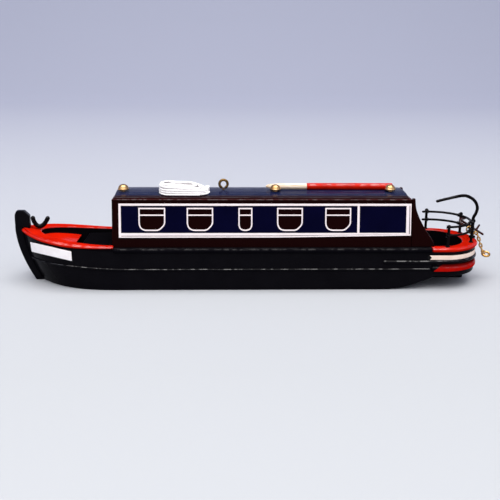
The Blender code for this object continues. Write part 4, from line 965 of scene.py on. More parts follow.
def build_stem():
    """The stem post: pairs of points up its front and back, each pair a rounded bar across the boat."""
    front = [(stem_x(z), z) for z in (*STEM_LEVELS, 22.8)] + STEM_HEAD_FRONT
    back = [(stem_x(z) - STEM_DEPTH + 0.05, z) for z in (*STEM_LEVELS, 22.3)]
    back += [(96.4, 23.5)] + [(x, bow_deck_z(x) + 0.1) for x in (95.2, 93.85)] + STEM_HEAD_BACK
    half = STEM_HALF_WIDTH
    rows = []
    for (x0, z0), (x1, z1) in zip(catmull(front, 4), catmull(back, 4)):
        length = math.hypot(x1 - x0, z1 - z0)
        corner = rounded([(0, -half, STEM_WEAR), (length, -half, STEM_WEAR), (length, half, STEM_WEAR),
                          (0, half, STEM_WEAR)])
        share = corner[:, 0] / length
        rows.append(np.stack([x0 + (x1 - x0) * share, corner[:, 1], z0 + (z1 - z0) * share], -1))
    rows = np.array(rows)
    rows[-2:, :, 1] *= [[0.95], [0.86]]
    make("stem_post", [skin(rows)], BLACK)


build_stem()
edge_levels = [(0.3, -1.3), (0.05, -1.2), (0.0, -1.0), (0.0, 1.0), (0.05, 1.2), (0.3, 1.3)]
make("skeg", [slab(rounded(SKEG), edge_levels, upright)], BLACK)

# %% [markdown]
# ## Strips along the hull
#
# Rubbing strips and painted bands are a profile of (out, up) carried along the stations. The profile shrinks over
# the last millimetre at an open end, and a slow ripple of a few hundredths moves it, as on hand-laid strips: it
# breaks the long highlights the way a real strip does.

# %% Strips along the hull
SEAT = 0.09  # how far a bent strip lies off the hull
END, STATION_STEP = 0.8, 1.1
WOBBLE = 0.035


def stations(front, rear):
    """Station numbers about a step apart along the gunwale and closer at open ends, with their places in mm."""
    fine = np.linspace(front, rear, 6001)
    length = lengths_of(hull_side(fine, GUNWALE_Z))
    total = length[-1]
    edge = END * (1 - np.cos(np.linspace(0, math.pi / 2, 6)[:-1]))
    inner = np.linspace(END, total - END, int(total / STATION_STEP))
    places = np.concatenate([edge, inner, (total - edge)[::-1]])
    return np.interp(places, length, fine), places, total


def strip(front, rear, height, profile, seed, closed_stern=False):
    """A shell of the profile, or of the profile at each x, carried from one station to another or round the stern."""
    s, places, total = stations(front, rear)
    near = np.minimum(places, total - places)
    if closed_stern:
        keep = places <= total - END
        s, places = np.append(s[keep], 3.0), np.append(places[keep], total)
        near = places
    grow = np.sqrt(np.clip(1 - (1 - np.clip(near / END, 0, 1)) ** 2, 0.02, 1))[:, None]
    x = side_place(s, GUNWALE_Z)[0]
    shape = profile(x) if callable(profile) else np.repeat(profile[None], len(x), 0)
    out, up = shape[..., 0], shape[..., 1]
    middle = (up.min(1, keepdims=True) + up.max(1, keepdims=True)) / 2
    out = SEAT + (out - SEAT) * grow
    out = out + np.where(out > SEAT + 0.03, (ripple(places, seed, 16, WOBBLE) - WOBBLE)[:, None] * grow, 0)
    up = middle + (up - middle) * (0.4 + 0.6 * grow) + ripple(places, seed + 50, 22, WOBBLE)[:, None]
    port = hull_side(s[:, None], height(x)[:, None] + up, out)
    if closed_stern:
        port = np.concatenate([port, port[-2::-1] * (1, -1, 1)])
    return skin(port)


# %% [markdown]
# ## Profiles
#
# The wooden guards are half round outside and flat where they are glued on. Towards the cabin the bow's guard thins
# to a point, so its profile is worked out anew at each place. A round bevel on a curve would sink half of it into
# the hull.

# %% Profiles
def half_round(low, high, proud):
    """A guard's profile: flat towards the hull and an arc of plus and minus 85 degrees outside."""
    turn = np.linspace(-1.48, 1.48, 13)
    arc = np.stack([SEAT + proud * np.cos(turn), (low + high) / 2 + (high - low) / 2 * np.sin(turn)], -1)
    return np.vstack([[SEAT, low], arc, [SEAT, high]])


def bow_profile(x):
    """The bow guard's half round at each x, thinning between 75 and 57 mm to a point at the cabin."""
    full = np.clip((x - 57) / 18, 0, 1)
    return np.array([half_round(-0.7 - 0.9 * share, -0.15, 0.5 + 0.35 * share) for share in full])


print(f"a guard's profile has {len(half_round(-1, 1, 1))} points")

# %% [markdown]
# ## Guards and bands
#
# The lower guard runs low along the whole hull and rises at the bow. The deck's edge has a black guard amidships
# that turns into a thin red one at the bow, and the counter carries a red band, a black guard, a cream band and a
# red guard, one above the other. Each is one row of a table, because they differ only in where they run, their
# profile and their paint.

# %% Guards and bands
COUNTER_BAND = [(SEAT, 7.9, 0.0), (0.62, 8.0, 0.3), (0.82, 8.7, 0.3), (0.82, 9.2, 0.3), (0.6, 9.85, 0.25),
                (0.27, 10.0, 0.2), (0.25, 11.3, 0.05), (SEAT, 11.3, 0.0)]
WHITE_BAND = [(SEAT, 13.1, 0.0), (0.25, 13.1, 0.06), (0.25, 15.0, 0.06), (SEAT, 15.0, 0.0)]


def low_guard_z(x):
    """9.1 mm, rising by 1.5 * t * t * (3 - 2 t) at the bow, with t = (x - 50)/34."""
    share = np.clip((x - 50) / 34, 0, 1)
    return 9.1 + 1.5 * share * share * (3 - 2 * share)


start, joint, end = station_at(PAINT_X), station_at(CABIN_FRONT_X), station_at(-76.0)
for name, front, rear, height, profile, paint, seed in (
        ("lower_guard", station_at(95.8), end, low_guard_z, half_round(-0.7, 0.35, 0.5), STRIP_BLACK, 11),
        ("side_guard", joint, end, deck_z, half_round(-2.2, -0.15, 0.85), GUARD_BLACK, 12),
        ("bow_guard", 0.004, joint - 0.002, bow_deck_z, bow_profile, RED, 13)):
    make_pair(name, [strip(front, rear, height, profile, seed)], paint)
for name, front, profile, paint, seed in (
        ("red_counter_band", start, rounded(COUNTER_BAND, 4), BAND_RED, 21),
        ("middle_guard", station_at(-55.5), half_round(11.4, 13.0, 0.75), STRIP_BLACK, 22),
        ("white_counter_band", station_at(-74.2), rounded(WHITE_BAND, 4), CREAM, 23),
        ("stern_guard", start, half_round(16.5, 18.15, 0.85), RED, 24)):
    make(name, [strip(front, 3.0, np.zeros_like, profile, seed, closed_stern=True)], paint)

# %% [markdown]
# ## Bow deck
#
# The bow's deck is one V-shaped board round the well. A deck board runs between an outer line and an inner line of
# equally many points. Its two lips are rounded, so that they catch the key panel, and its top follows the sheer. A
# flat outline with a Bevel modifier would be simpler, but it could not rise and thin towards the stem.

# %% Bow deck
LIP = 0.3
UNDER = 1.45  # a board's underside below the deck's height


def board(outer, inner, top, base, across=5, seed=0):
    """A shell between two lines of (x, y): up from the base at the inner line, over the top and down at the outer."""
    way = outer - inner
    width = np.linalg.norm(way, axis=1, keepdims=True)
    turn = np.linspace(0, math.pi / 2, 5)
    reach = np.minimum(LIP, width / 3)
    rise = reach * (1 - np.cos(turn))
    middle = reach + (width - 2 * reach) * np.linspace(0, 1, across + 2)[1:-1]
    offset = np.hstack([np.zeros_like(width), rise, middle, width - rise[:, ::-1], width])
    fall = reach * (1 - np.sin(turn))
    drop = np.hstack([np.zeros_like(width), fall, np.zeros_like(middle), fall[:, ::-1], np.zeros_like(width)])
    place = inner[:, None] + (way / width)[:, None] * offset[..., None]
    x = place[..., 0]
    height = top(x) - drop - 0.02 + ripple(x * 0.8 + place[..., 1] * 0.6, seed, 12, 0.02) * (drop < 0.01)
    height[:, 0], height[:, -1] = base(x[:, 0]), base(x[:, -1])
    return skin(np.concatenate([place, height[..., None]], -1))


def build_bow_deck():
    """The bow's V: its outer line follows the hull and its inner line the well, both from the cabin forward."""
    outer = evenly(hull_side(np.linspace(station_at(CABIN_FRONT_X + 0.05), 0.0, 90), GUNWALE_Z)[:, :2], 90)
    inner = evenly(fore_well(0.0, 200)[:-1], 90)
    outer, inner = (np.vstack([line, line[::-1] * (1, -1)]) for line in (outer, inner))
    make("bow_deck", [board(outer, inner, bow_deck_z, lambda x: deck_z(x) - UNDER, seed=31)], RED)


build_bow_deck()

# %% [markdown]
# ## Linings
#
# Below the decks' lips the wells are painted black, and so is the edge of the bow's board outside. These are skins
# a few hundredths thick on the boards, because a lip's red ends at a line that follows the sheer.

# %% Linings
LINING = 0.07
LINING_FOOT, COCKPIT_LINING_Z = 1.5, (16.8, 17.8, 17.85)  # foot below the deck; foot, inner head and outer head
RIM_OUT = np.array([[0.005, 0.06, 0.06, 0.005]])


def closed_rows(levels):
    """A shell that runs down the port side and back up the starboard side, from (line, height) levels."""
    port = np.array([np.column_stack([line, height]) for line, height in levels]).transpose(1, 0, 2)
    return skin(np.vstack([port, port[::-1] * (1, -1, 1)]))


def build_linings():
    """The wells' linings run from below the boards to just under the lips, and the rim's skin along the bow."""
    edge, within = fore_well(0.0, 200)[:-1], fore_well(LINING, 200)[:-1]
    bow = closed_rows([(edge, deck_z(edge[:, 0]) - LINING_FOOT), (within, deck_z(within[:, 0]) - LINING_FOOT),
                       (within, bow_deck_z(within[:, 0]) - 0.47), (edge, bow_deck_z(edge[:, 0]) - 0.42)])
    s = np.linspace(station_at(CABIN_FRONT_X + 0.05), 0.01, 90)[:, None]
    x = side_place(s, GUNWALE_Z)[0]
    low, high = deck_z(x) - 1.55, bow_deck_z(x) - 0.85
    rim = skin(hull_side(s, np.hstack([low, low, high, high]), RIM_OUT))
    edge, within = cockpit(0.0, PAINT_X, 120)[:-1], cockpit(LINING, PAINT_X, 120)[:-1]
    foot, inner_head, outer_head = COCKPIT_LINING_Z
    stern = closed_rows([(line, np.full(len(line), z)) for line, z in
                         ((edge, foot), (within, foot), (within, inner_head), (edge, outer_head))])
    make("black_linings", [bow, rim, mirrored(rim), stern], DEEP_BLACK, replaces=False)


build_linings()

# %% [markdown]
# ## Stern and side decks
#
# The stern's deck is a level horseshoe round the cockpit, and two narrow black decks run beside the cabin. They are
# the same kind of board as the bow's, so the same function draws them, and only the lines change.

# %% Stern and side decks
SIDE_DECK_Y = (17.64, 15.95)


def build_after_decks():
    """The stern's outer line is the hull and its inner line the cockpit; the side decks' lines are straight."""
    def base(x):
        """The boards' underside, below the gunwale."""
        return gunwale(x) - UNDER
    outer = evenly(hull_side(np.linspace(station_at(PAINT_X), 3.0, 90), GUNWALE_Z)[:, :2], 90)
    inner = evenly(cockpit(0.0, PAINT_X, 120), 90)
    make("stern_deck", [board(both_sides(outer), both_sides(inner), gunwale, base, seed=32)], RED)
    x = np.linspace(-76.0, CABIN_FRONT_X, 120)
    outer, inner = (np.stack([x, np.full_like(x, y)], -1) for y in SIDE_DECK_Y)
    make_pair("side_deck", [board(outer, inner, gunwale, base, across=2, seed=33)], DEEP_BLACK)


build_after_decks()

# %% [markdown]
# ## In the fore well
#
# A red locker fills the bow end of the well, its lid rising forward, and a black seat stands against the cabin.
# Both are slabs on the well's own outline with one rounded upper edge. Plain boxes would leave gaps against the
# curved sides, which show from above.

# %% In the fore well
LOCKER_REAR_X, LOCKER_SLOPE = 74.3, 0.2
BOX_LOW_Z, BOX_HIGH_Z, LID_LOW_Z, LID_HIGH_Z = 12.55, 15.68, 15.7, 16.6
SEAT_FRONT_X, SEAT_REAR_X, SEAT_TOP_Z, SEAT_LIP = 71.0, 56.75, 17.2, 0.35
CLEARANCE = 0.25  # between what stands in the well and its sides


def lipped(low, high, lip):
    """Levels of a slab whose top edge is a quarter circle of the lip's radius."""
    turn = np.linspace(0, math.pi / 2, 4)
    return [(0.0, low)] + [(lip * (1 - math.cos(a)), high - lip * (1 - math.sin(a))) for a in turn]


def lid_place(x, y, z):
    """The lid rises by a fifth of the distance forward of its rear edge."""
    return x, y, z + LOCKER_SLOPE * (x - LOCKER_REAR_X)


def box_place(x, y, z):
    """The box's top follows the lid's slope and its foot stays level."""
    return x, y, z + LOCKER_SLOPE * (x - LOCKER_REAR_X) * (z - BOX_LOW_Z) / (BOX_HIGH_Z - BOX_LOW_Z)


def build_fore_well():
    """Both outlines are the well's, moved in by the clearance and cut off square across the boat."""
    edge = fore_well(CLEARANCE, 200)
    port = edge[edge[:, 0] > 74.5]
    side = np.interp(LOCKER_REAR_X, edge[:, 0], edge[:, 1])
    outline = np.vstack([[LOCKER_REAR_X, side], port[::6], [edge[-1, 0], 0.0], port[::6][::-1] * (1, -1),
                         [LOCKER_REAR_X, -side]])
    make("bow_locker", [slab(outline, lipped(LID_LOW_Z, LID_HIGH_Z, LIP), lid_place),
                        slab(inset(outline, 0.3), [(0.0, BOX_LOW_Z), (0.0, BOX_HIGH_Z)], box_place)], LOCKER_RED)
    seat = edge[(edge[:, 0] > 57.0) & (edge[:, 0] < 70.8)][::8]
    rear, front = ((x, np.interp(x, *edge.T)) for x in (SEAT_REAR_X, SEAT_FRONT_X))
    port = np.vstack([rear, seat, front])
    outline = np.vstack([port, port[::-1] * (1, -1)])
    make("fore_seat", [slab(outline, lipped(BOX_LOW_Z, SEAT_TOP_Z, SEAT_LIP), lying)], DEEP_BLACK)


build_fore_well()

# %% [markdown]
# ## Cabin
#
# The cabin is one section drawn along X, with leaning sides and a small bead along its upper edges. Its ends shrink
# by a quarter circle, as a sanded block's do. A cube with its top scaled in would lean as well, but the bead and the
# softened ends would each need work of their own.

# %% Cabin
EAVE_Y, EAVE_Z, FOOT_Y = 12.8, 38.1, 15.9
CABIN_FOOT_Z, CABIN_TOP_Z, BEAD_LOW_Z, BEAD_HIGH_Z = 16.85, 37.9, 36.98, 37.1
BEAD_OUT = 0.2
LEAN = math.atan2(FOOT_Y - EAVE_Y, EAVE_Z - GUNWALE_Z)


def cabin_y(z):
    """Half width of the cabin: 15.9 at the deck, leaning in to 12.8 at the roof's edge."""
    return FOOT_Y - 3.1 * (z - GUNWALE_Z) / 19.8


def on_side(x, z, out):
    """A point standing out from the cabin's leaning port side."""
    x, z, out = np.broadcast_arrays(x, z, np.asarray(out, float))
    return x + 0.0, cabin_y(z) + out * math.cos(LEAN), z + out * math.sin(LEAN)


def drawn(section, start, end, edge):
    """A section of (y, z) drawn along X, shrinking over each end by a quarter circle of the edge's radius."""
    turn = np.linspace(math.pi / 2, 0, 5)
    near = [(start + edge * (1 - math.sin(a)), edge * (1 - math.cos(a))) for a in turn]
    inner = [(x, 0.0) for x in np.linspace(start + edge, end - edge, int((end - start) / 2))[1:-1]]
    far = [(end - (x - start), shrink) for x, shrink in reversed(near)]
    return skin([np.column_stack([np.full(len(section), x), inset(section, shrink)])
                 for x, shrink in near + inner + far])


def build_cabin():
    """Half of the section goes up the side, out over the bead and in to the top, and the rest mirrors it."""
    half = [(FOOT_Y, CABIN_FOOT_Z, 0.05), (FOOT_Y, GUNWALE_Z, 0.1), (cabin_y(BEAD_LOW_Z), BEAD_LOW_Z, 0.05),
            (cabin_y(BEAD_HIGH_Z) + BEAD_OUT, BEAD_HIGH_Z, 0.18), (cabin_y(CABIN_TOP_Z) + 0.16, CABIN_TOP_Z, 0.5)]
    section = rounded(half + [(-y, z, reach) for y, z, reach in reversed(half)], 6)
    make("cabin", [drawn(section, CABIN_REAR_X, 57.0, 0.5)], MAROON)


build_cabin()

# %% [markdown]
# ## Roof
#
# The roof is scribed into eight planks. Between planks the camber is pulled down into a narrow groove, and each
# plank lies a few hundredths higher or lower along its length. A bump texture would lose the grooves' shadows.

# %% Roof
ROOF_HALF, ROOF_REAR, ROOF_FRONT, ROOF_FOOT, ROOF_EDGE = 11.6, -66.4, 56.2, 37.95, 0.3
PLANKS = 8


def roof_z(y):
    """The roof's camber: 38.1 + 1.3 * (1 - (y/12.8) ** 2)."""
    return EAVE_Z + 1.3 * (1 - (y / EAVE_Y) ** 2)


def build_roof():
    """Planks 2.9 mm wide: at each groove the height drops by 0.17 between lips 0.16 to either side."""
    half = ROOF_HALF
    grooves = np.linspace(-half, half, PLANKS + 1)[1:-1]
    around = np.array([-0.32, -0.16, -0.08, 0.08, 0.16, 0.32])
    y = np.sort(np.concatenate([(grooves[:, None] + around).ravel(), np.linspace(-half + 0.35, half - 0.35, 33),
                                [-half, -half + 0.03, -half + 0.12, half - 0.12, half - 0.03, half]]))
    drop = np.interp(np.abs(y[:, None] - grooves).min(1), [0.08, 0.16, 0.32], [0.17, 0.06, 0.0])
    drop += 0.16 * np.clip((np.abs(y) - (half - 0.2)) / 0.2, 0, 1) ** 2
    bend = ROOF_EDGE * (1 - np.cos(np.linspace(0, math.pi / 2, 5)))
    x = np.concatenate([ROOF_REAR + bend, np.linspace(-65.5, 55.3, 110), ROOF_FRONT - bend[::-1]])
    end = np.clip(1 - np.minimum(x - ROOF_REAR, ROOF_FRONT - x) / ROOF_EDGE, 0, 1)
    lift = np.array([ripple(x, 60 + k, 30, 0.015) for k in range(PLANKS)])[np.digitize(y, grooves)].T
    z = roof_z(y)[None] - drop[None] + lift - ROOF_EDGE * (1 - np.sqrt(1 - end**2))[:, None]
    across = y[None] * (1 - 0.15 * end[:, None] ** 2 / half)
    upper = np.stack([np.repeat(x[:, None], len(y), 1), across, z], -1)
    lower = upper.copy()
    lower[..., 2] = ROOF_FOOT
    make("roof", [skin(np.concatenate([upper, lower[:, ::-1]], 1), ladder=True)], ROOF_BLUE)


build_roof()

# %% [markdown]
# ## Cabin wings
#
# The cabin's sides run on aft as two boards that sweep down to the deck. Each is a stack of thin rows at fixed
# heights, and each row is as long as the swept curve allows. A flat cut-out would be simpler, but these boards lean
# with the cabin and keep one thickness, so every row is set out from the leaning side.

# %% Cabin wings
WING_SWEEP = [(-77.3, 18.9), (-76.3, 21.2), (-74.1, 24.4), (-72.0, 27.8), (-70.3, 31.2), (-69.2, 34.5), (-68.8, 39.0)]
WING_FRONT_X, WING_THICKNESS, WING_FOOT_Z = -67.65, 1.4, 18.36


def build_wings():
    """Rows at fixed heights: the trailing edge follows a smooth curve through the swept points, its top rounded."""
    sweep = catmull(WING_SWEEP, 16)
    rows = []
    for z, shrink in [(z, 0.0) for z in np.linspace(18.4, 37.9, 60)] + [(38.1, 0.06), (38.25, 0.18), (38.32, 0.36)]:
        rear = np.interp(z, sweep[:, 1], sweep[:, 0]) + shrink
        inner = shrink - WING_THICKNESS
        loop = rounded([(WING_FRONT_X, inner, 0.05), (rear, inner, 0.5), (rear, -shrink, 0.5),
                        (WING_FRONT_X, -shrink, 0.05)], 6)
        x, y, height = on_side(loop[:, 0], z, loop[:, 1])
        rows.append(np.stack([x, y, np.maximum(height, WING_FOOT_Z)], -1))
    make_pair("cabin_wing", [skin(rows)], MAROON)


build_wings()

# %% [markdown]
# ## White lines
#
# The panels and windows are edged with thin white lines. Painted lines in a material would be lighter, but the real
# ones are raised card with a soft edge, and they catch the light. So each line is a flat ring between two outlines,
# or a straight lath.

# %% White lines
LINE_LOW, LINE_HIGH, LINE_EDGE = 0.3, 0.45, 0.05  # how far the lines stand out of the cabin's side


def lining(outline, inner):
    """A flat ring between two outlines of equally many points, its outer edges eased."""
    first, last = inset(outline, LINE_EDGE), inset(inner, -LINE_EDGE)
    ease = LINE_HIGH - LINE_EDGE
    levels = ((outline, LINE_LOW), (outline, ease), (first, LINE_HIGH), (last, LINE_HIGH), (inner, ease),
              (inner, LINE_LOW))
    return skin([np.stack(on_side(*line.T, out), -1) for line, out in levels], ring=True)


def lath(x0, x1, z0, z1, high=LINE_HIGH):
    """A straight white line between two places along X and two heights."""
    outline = np.array([(x0, z0), (x1, z0), (x1, z1), (x0, z1)], float)
    return slab(outline, [(0.0, LINE_LOW), (0.0, high - LINE_EDGE), (LINE_EDGE, high)], on_side)


print(f"the white lines stand {LINE_HIGH} mm out of a side that leans by {math.degrees(LEAN):.1f} degrees")

# %% [markdown]
# ## Side panels and windows
#
# A navy card lies on each side, lined in white: a thin border with a second line inside it at the foot and at the
# after end, and a divider. Each window has a flat head, a round forward corner and a clipped after corner below, and
# one bar, and the card is cut away behind it so that the maroon side shows. The after field is plain. One function
# for all the windows' outlines keeps their corners alike.

# %% Side panels and windows
WINDOWS = ((46.2, 34.8), (26.4, 15.1), (5.1, -1.1), (-10.9, -22.0), (-30.9, -42.1))  # front and rear
WINDOW_LOW, WINDOW_HIGH, WINDOW_BAR = 24.95, 34.4, (31.15, 31.67)
PANEL = (-67.05, 54.15, 22.2, 36.1)  # rear, front, foot and head
WINDOW_LINE, FRONT_LINE, HEAD_LINE, FOOT_LINE = 0.55, 0.95, 0.88, 0.55
DIVIDER = (-45.47, -44.53)
CARD_LEVELS, HOLE_LEVELS = [(0.03, 0.0), (0.0, 0.03), (0.0, 0.22), (0.03, 0.25)], [(0.0, -1.0), (0.0, 1.0)]


def window_outline(front, rear):
    """Flat head, round forward corner and clipped after corner, as (x, z); a narrow window's foot is all round."""
    front, rear, low, high = front - 0.2, rear + 0.2, WINDOW_LOW, WINDOW_HIGH
    if front - rear < 8:
        foot = [(rear, low, 3.05), (front, low, 3.05)]
    else:
        foot = [(rear, low + 2.5, 1.3), (rear + 2.5, low, 1.3), (front, low, 3.6)]
    return rounded([(rear, high, 0.0), *foot, (front, high, 0.0)], 12)


def panel_outline(foot=0.0, head=0.0, fore=0.0, aft=0.0):
    """The panel with its edges moved in; its foot rises by 0.8 mm over its after half, as (x, z)."""
    rear, front, low, high = PANEL
    return np.array([(rear + aft, low + 0.8 + foot), (-12.0, low + 0.05 + foot), (front - fore, low + foot),
                     (front - fore, high - head), (rear + aft, high - head)])


def build_panels():
    """The navy cards with their window holes, and the white linings on them."""
    rear, _, low, high = PANEL
    inner_low, inner_high = low + 1.9, high - HEAD_LINE
    card = slab(panel_outline(), CARD_LEVELS, on_side)
    holes = [slab(inset(window_outline(*window), WINDOW_LINE / 2), HOLE_LEVELS, on_side) for window in WINDOWS]
    carve(make("side_panel_port", [card], NAVY), holes)
    carve(make("side_panel_starboard", [mirrored(card)], NAVY), [mirrored(hole) for hole in holes])
    foot = panel_outline(0.78, high - inner_low, FRONT_LINE, 0.8)
    foot[0, 1] = foot[1, 1] + 0.55
    make_pair("panel_frame", [lining(panel_outline(), panel_outline(FOOT_LINE, HEAD_LINE, FRONT_LINE, 0.5)),
                              slab(foot, [(0.0, LINE_LOW), (0.0, 0.4), (LINE_EDGE, LINE_HIGH)], on_side),
                              lath(rear + 0.8, rear + 2.05, inner_low, inner_high),
                              lath(*DIVIDER, inner_low, inner_high)], WHITE)
    for number, (fore, aft) in enumerate(WINDOWS, 1):
        outline = window_outline(fore, aft)
        make_pair("window_frame", [lining(outline, inset(outline, WINDOW_LINE)),
                                   lath(aft + 0.2 + WINDOW_LINE, fore - 0.2 - WINDOW_LINE, *WINDOW_BAR, high=0.44)],
                  WHITE, f"_{number}")


build_panels()

# %% [markdown]
# ## Bow boards
#
# Two small white boards are bent to the bow: each is a thin profile carried along the hull's side, because a flat
# board pushed on with a Shrinkwrap modifier would lose its even thickness.

# %% Bow boards
# The board's lower and upper edge along the bow, as (x, low z, high z).
BOARD_EDGES = np.array([(73.6, 12.69, 16.85), (77.0, 13.33, 17.54), (80.0, 13.78, 18.05), (83.0, 14.1, 18.43),
                        (86.0, 14.24, 18.64), (89.0, 14.13, 18.64), (92.2, 13.7, 18.33)])
BOARD_PROFILE = [(SEAT, 0.0, 0.0), (0.36, 0.0, 0.1), (0.36, 1.0, 0.1), (SEAT, 1.0, 0.0)]


def build_board():
    """The profile's height between the two edges, and its station from x: s = 1 - (x - 52)/(stem - depth - 52)."""
    x = np.linspace(92.2, 73.6, 40)
    low, high = (np.interp(x, BOARD_EDGES[:, 0], BOARD_EDGES[:, k]) for k in (1, 2))
    profile = rounded(BOARD_PROFILE, 4)
    z = low[:, None] + (high - low)[:, None] * profile[:, 1]
    s = 1 - (x[:, None] - BOW_START_X) / (stem_x(z) - STEM_DEPTH - BOW_START_X)
    make_pair("bow_plate", [skin(hull_side(s, z, np.repeat(profile[None, :, 0], 40, 0)))], PLATE)


build_board()

# %% [markdown]
# ## Cleat
#
# The forked cleat on the fore deck is one thick wire bent up at both ends. It is a round bar with domed ends along a
# smooth curve through a few knots. Three cylinders joined at corners would be the quick stand-in, and would show
# their joints.

# %% Cleat
CLEAT_FOOT_Z, CLEAT_WIRE = bow_deck_z(90.0) + 1.25, 0.95


def bar(path, radius, up=(0, 0, 1), spacing=0.35, taper=None):
    """A round bar: over its last radius it narrows as a quarter circle. taper is (share, factor) pairs."""
    path = np.asarray(path, float)
    total = lengths_of(path)[-1]
    dome = radius * (1 - np.cos(np.linspace(0.15, math.pi / 2, 6)[:-1]))
    inner = np.linspace(radius, total - radius, max(3, int(total / spacing)))
    places = np.concatenate([dome, inner, (total - dome)[::-1]])
    share = np.clip(1 - np.minimum(places, total - places) / radius, 0, 1)
    size = radius * np.sqrt(np.clip(1 - share**2, 0.01, 1))
    if taper is not None:
        size = size * np.interp(places / total, *zip(*taper))
    return skin(tube_grid(resample(path, places), size, up))


cleat_knots = [(92.65, 0, 27.95), (92.25, 0, 25.8), (91.2, 0, CLEAT_FOOT_Z + 0.6), (89.8, 0, CLEAT_FOOT_Z),
               (88.3, 0, CLEAT_FOOT_Z + 0.6), (87.0, 0, 25.6), (85.8, 0, 27.75)]
make("bow_cleat", [bar(catmull(cleat_knots, 14), CLEAT_WIRE, up=(0, 1, 0))], WIRE)

# %% [markdown]
# ## Brass pins
#
# Three turned brass pins stand on the roof. Each comes off a lathe, so it is a profile spun about an axis. The Screw
# modifier would spin it too, but as rows of numbers its radii stay in sight.

# %% Brass pins
ROOF_SEAT = 39.45
PINS = {"fore": 53.2, "middle": -11.0, "aft": -60.0}
PIN_Y = 2.8
FLANGE = [(2.16, 1.25), (2.28, 1.12), (2.36, 0.92), (2.34, 0.7), (2.2, 0.5), (1.75, 0.36), (0.98, 0.28),
          (0.82, 0.15), (0.85, 0.0)]


def turned(profile, centre, steps=40, axis="z"):
    """A lathed shell: its profile of (radius, distance along the axis) spun about an axis through centre."""
    profile = np.asarray(profile, float)
    angle = np.linspace(0, 2 * math.pi, steps, endpoint=False)
    across, over = profile[:, 0, None] * np.cos(angle), profile[:, 0, None] * np.sin(angle)
    along = np.broadcast_to(profile[:, 1, None], across.shape)
    order = {"z": (across, over, along), "x": (along, across, over)}[axis]
    return skin(np.stack(order, -1) + np.asarray(centre, float))


def build_pins():
    """A small dome, 2.1 * sin a wide and 1.52 * cos a high, on a wide flange."""
    dome = [(2.1 * math.sin(a), 1.35 + 1.52 * math.cos(a)) for a in np.linspace(0.08, math.pi / 2, 9)]
    for name, x in PINS.items():
        make("brass_pin_" + name, [turned(dome + FLANGE, (x, PIN_Y, ROOF_SEAT))], BRASS)


build_pins()

# %% [markdown]
# ## Screw eye
#
# The screw eye is a wire bent into a ring, with a short gap at its foot, on a threaded shank. A torus would close the
# gap, so the ring is a bar along an open arc. The thread is a few radii of a turned profile, because at half a
# millimetre its slope can't be seen.

# %% Screw eye
EYE_X = 11.0
EYE_RADIUS, EYE_WIRE, EYE_LIFT = 1.72, 0.56, 0.19
EYE_SHANK = [(0.5, 0.0), (0.5, 0.1), (0.42, 0.16), (0.5, 0.24), (0.5, 0.32), (0.44, 0.4), (0.5, 0.5), (0.45, 0.75)]


def build_eye():
    """A wire ring, open by 28 degrees at its foot, on a short threaded shank."""
    angle = np.radians(np.linspace(14, 346, 60))
    centre = ROOF_SEAT + EYE_LIFT + EYE_RADIUS + EYE_WIRE
    loop = np.stack([EYE_X + EYE_RADIUS * np.sin(angle), 0 * angle, centre - EYE_RADIUS * np.cos(angle)], -1)
    make("screw_eye", [bar(loop, EYE_WIRE, up=(0, 1, 0), spacing=0.2),
                       turned(EYE_SHANK, (EYE_X, 0, ROOF_SEAT), steps=20)], EYE)


build_eye()

# %% [markdown]
# ## Boat pole
#
# The pole is a dowel with a blunt point forward, and its after part is dipped in red. Both parts are spun as the pins
# are. The red one is a little thicker, as a coat of paint is, and a slow ripple keeps its long highlight from running
# dead straight, as a plain cylinder's would.

# %% Boat pole
POLE_Y, POLE_Z = -0.8, ROOF_SEAT + 1.3
SHAFT_X, SHAFT_RADIUS = (-24.65, -12, -8.6, -7.3), (1.3, 1.24, 0.92, 0.5)
HANDLE_REAR_X, HANDLE_FRONT_X, HANDLE_RADIUS = -61.3, -24.8, 1.42


def build_pole():
    """The bare shaft with its point forward, and the red handle, which is 0.12 mm thicker and slightly uneven."""
    x = np.linspace(SHAFT_X[0], SHAFT_X[-1], 60)
    shaft = [(0.9, -24.68), *zip(np.interp(x, SHAFT_X, SHAFT_RADIUS), x), (0.42, -7.2), (0.25, -7.14)]
    make("pole_shaft", [turned(shaft, (0, POLE_Y, POLE_Z), axis="x")], PINE)
    x = np.linspace(HANDLE_REAR_X, HANDLE_FRONT_X, 90)
    size = HANDLE_RADIUS + 0.03 * np.cos((x + 43) / 9) + ripple(x, 71, 9, 0.02)
    handle = [(0.7, -61.8), (1.1, -61.7), (1.28, -61.5), *zip(np.minimum(size, 1.46), x), (1.3, -24.72)]
    make("pole_handle", [turned(handle, (0, POLE_Y, POLE_Z), axis="x")], RED)


build_pole()

# %% [markdown]
# ## Stern rails
#
# Two wire rails are lashed to four posts with ball tops. Each lashing is a closed oval of thin wire, and two of them
# cross over each joint, which is how a model maker hides the solder. One long helix would be truer to the wire, but
# at this size only the crossing shows.

# %% Stern rails
RAIL, POST, LASHING, BALL = 0.5, 0.6, 0.13, 0.85
RAIL_CENTRE_X, RAIL_LENGTH, RAIL_HALF_WIDTH, RAIL_END_X = -82, 14, 15, -79
RAILS = {"rail_top": 26.5, "rail_lower": 22.9}
POST_LENGTH, POST_HALF_WIDTH, BALL_Z = 15.15, 16.15, 26.92  # the posts stand on an ellipse outside the rails
LASHING_LENGTH, LASHING_WIDTH, LASHING_IN, LASHING_SLANT = 2.7, 1.75, 0.58, 0.8
# Each post's angle round the rail, from port abeam.
POSTS = {"port": 0.05, "port_quarter": 1.02, "starboard_quarter": 2.12, "starboard": 3.182}
POST_OUTLINE = [(POST, 26.1), (POST, 20), (POST, 18.9), (0.72, 18.68), (0.98, 18.58), (1.04, 18.46), (0.95, 18.36)]


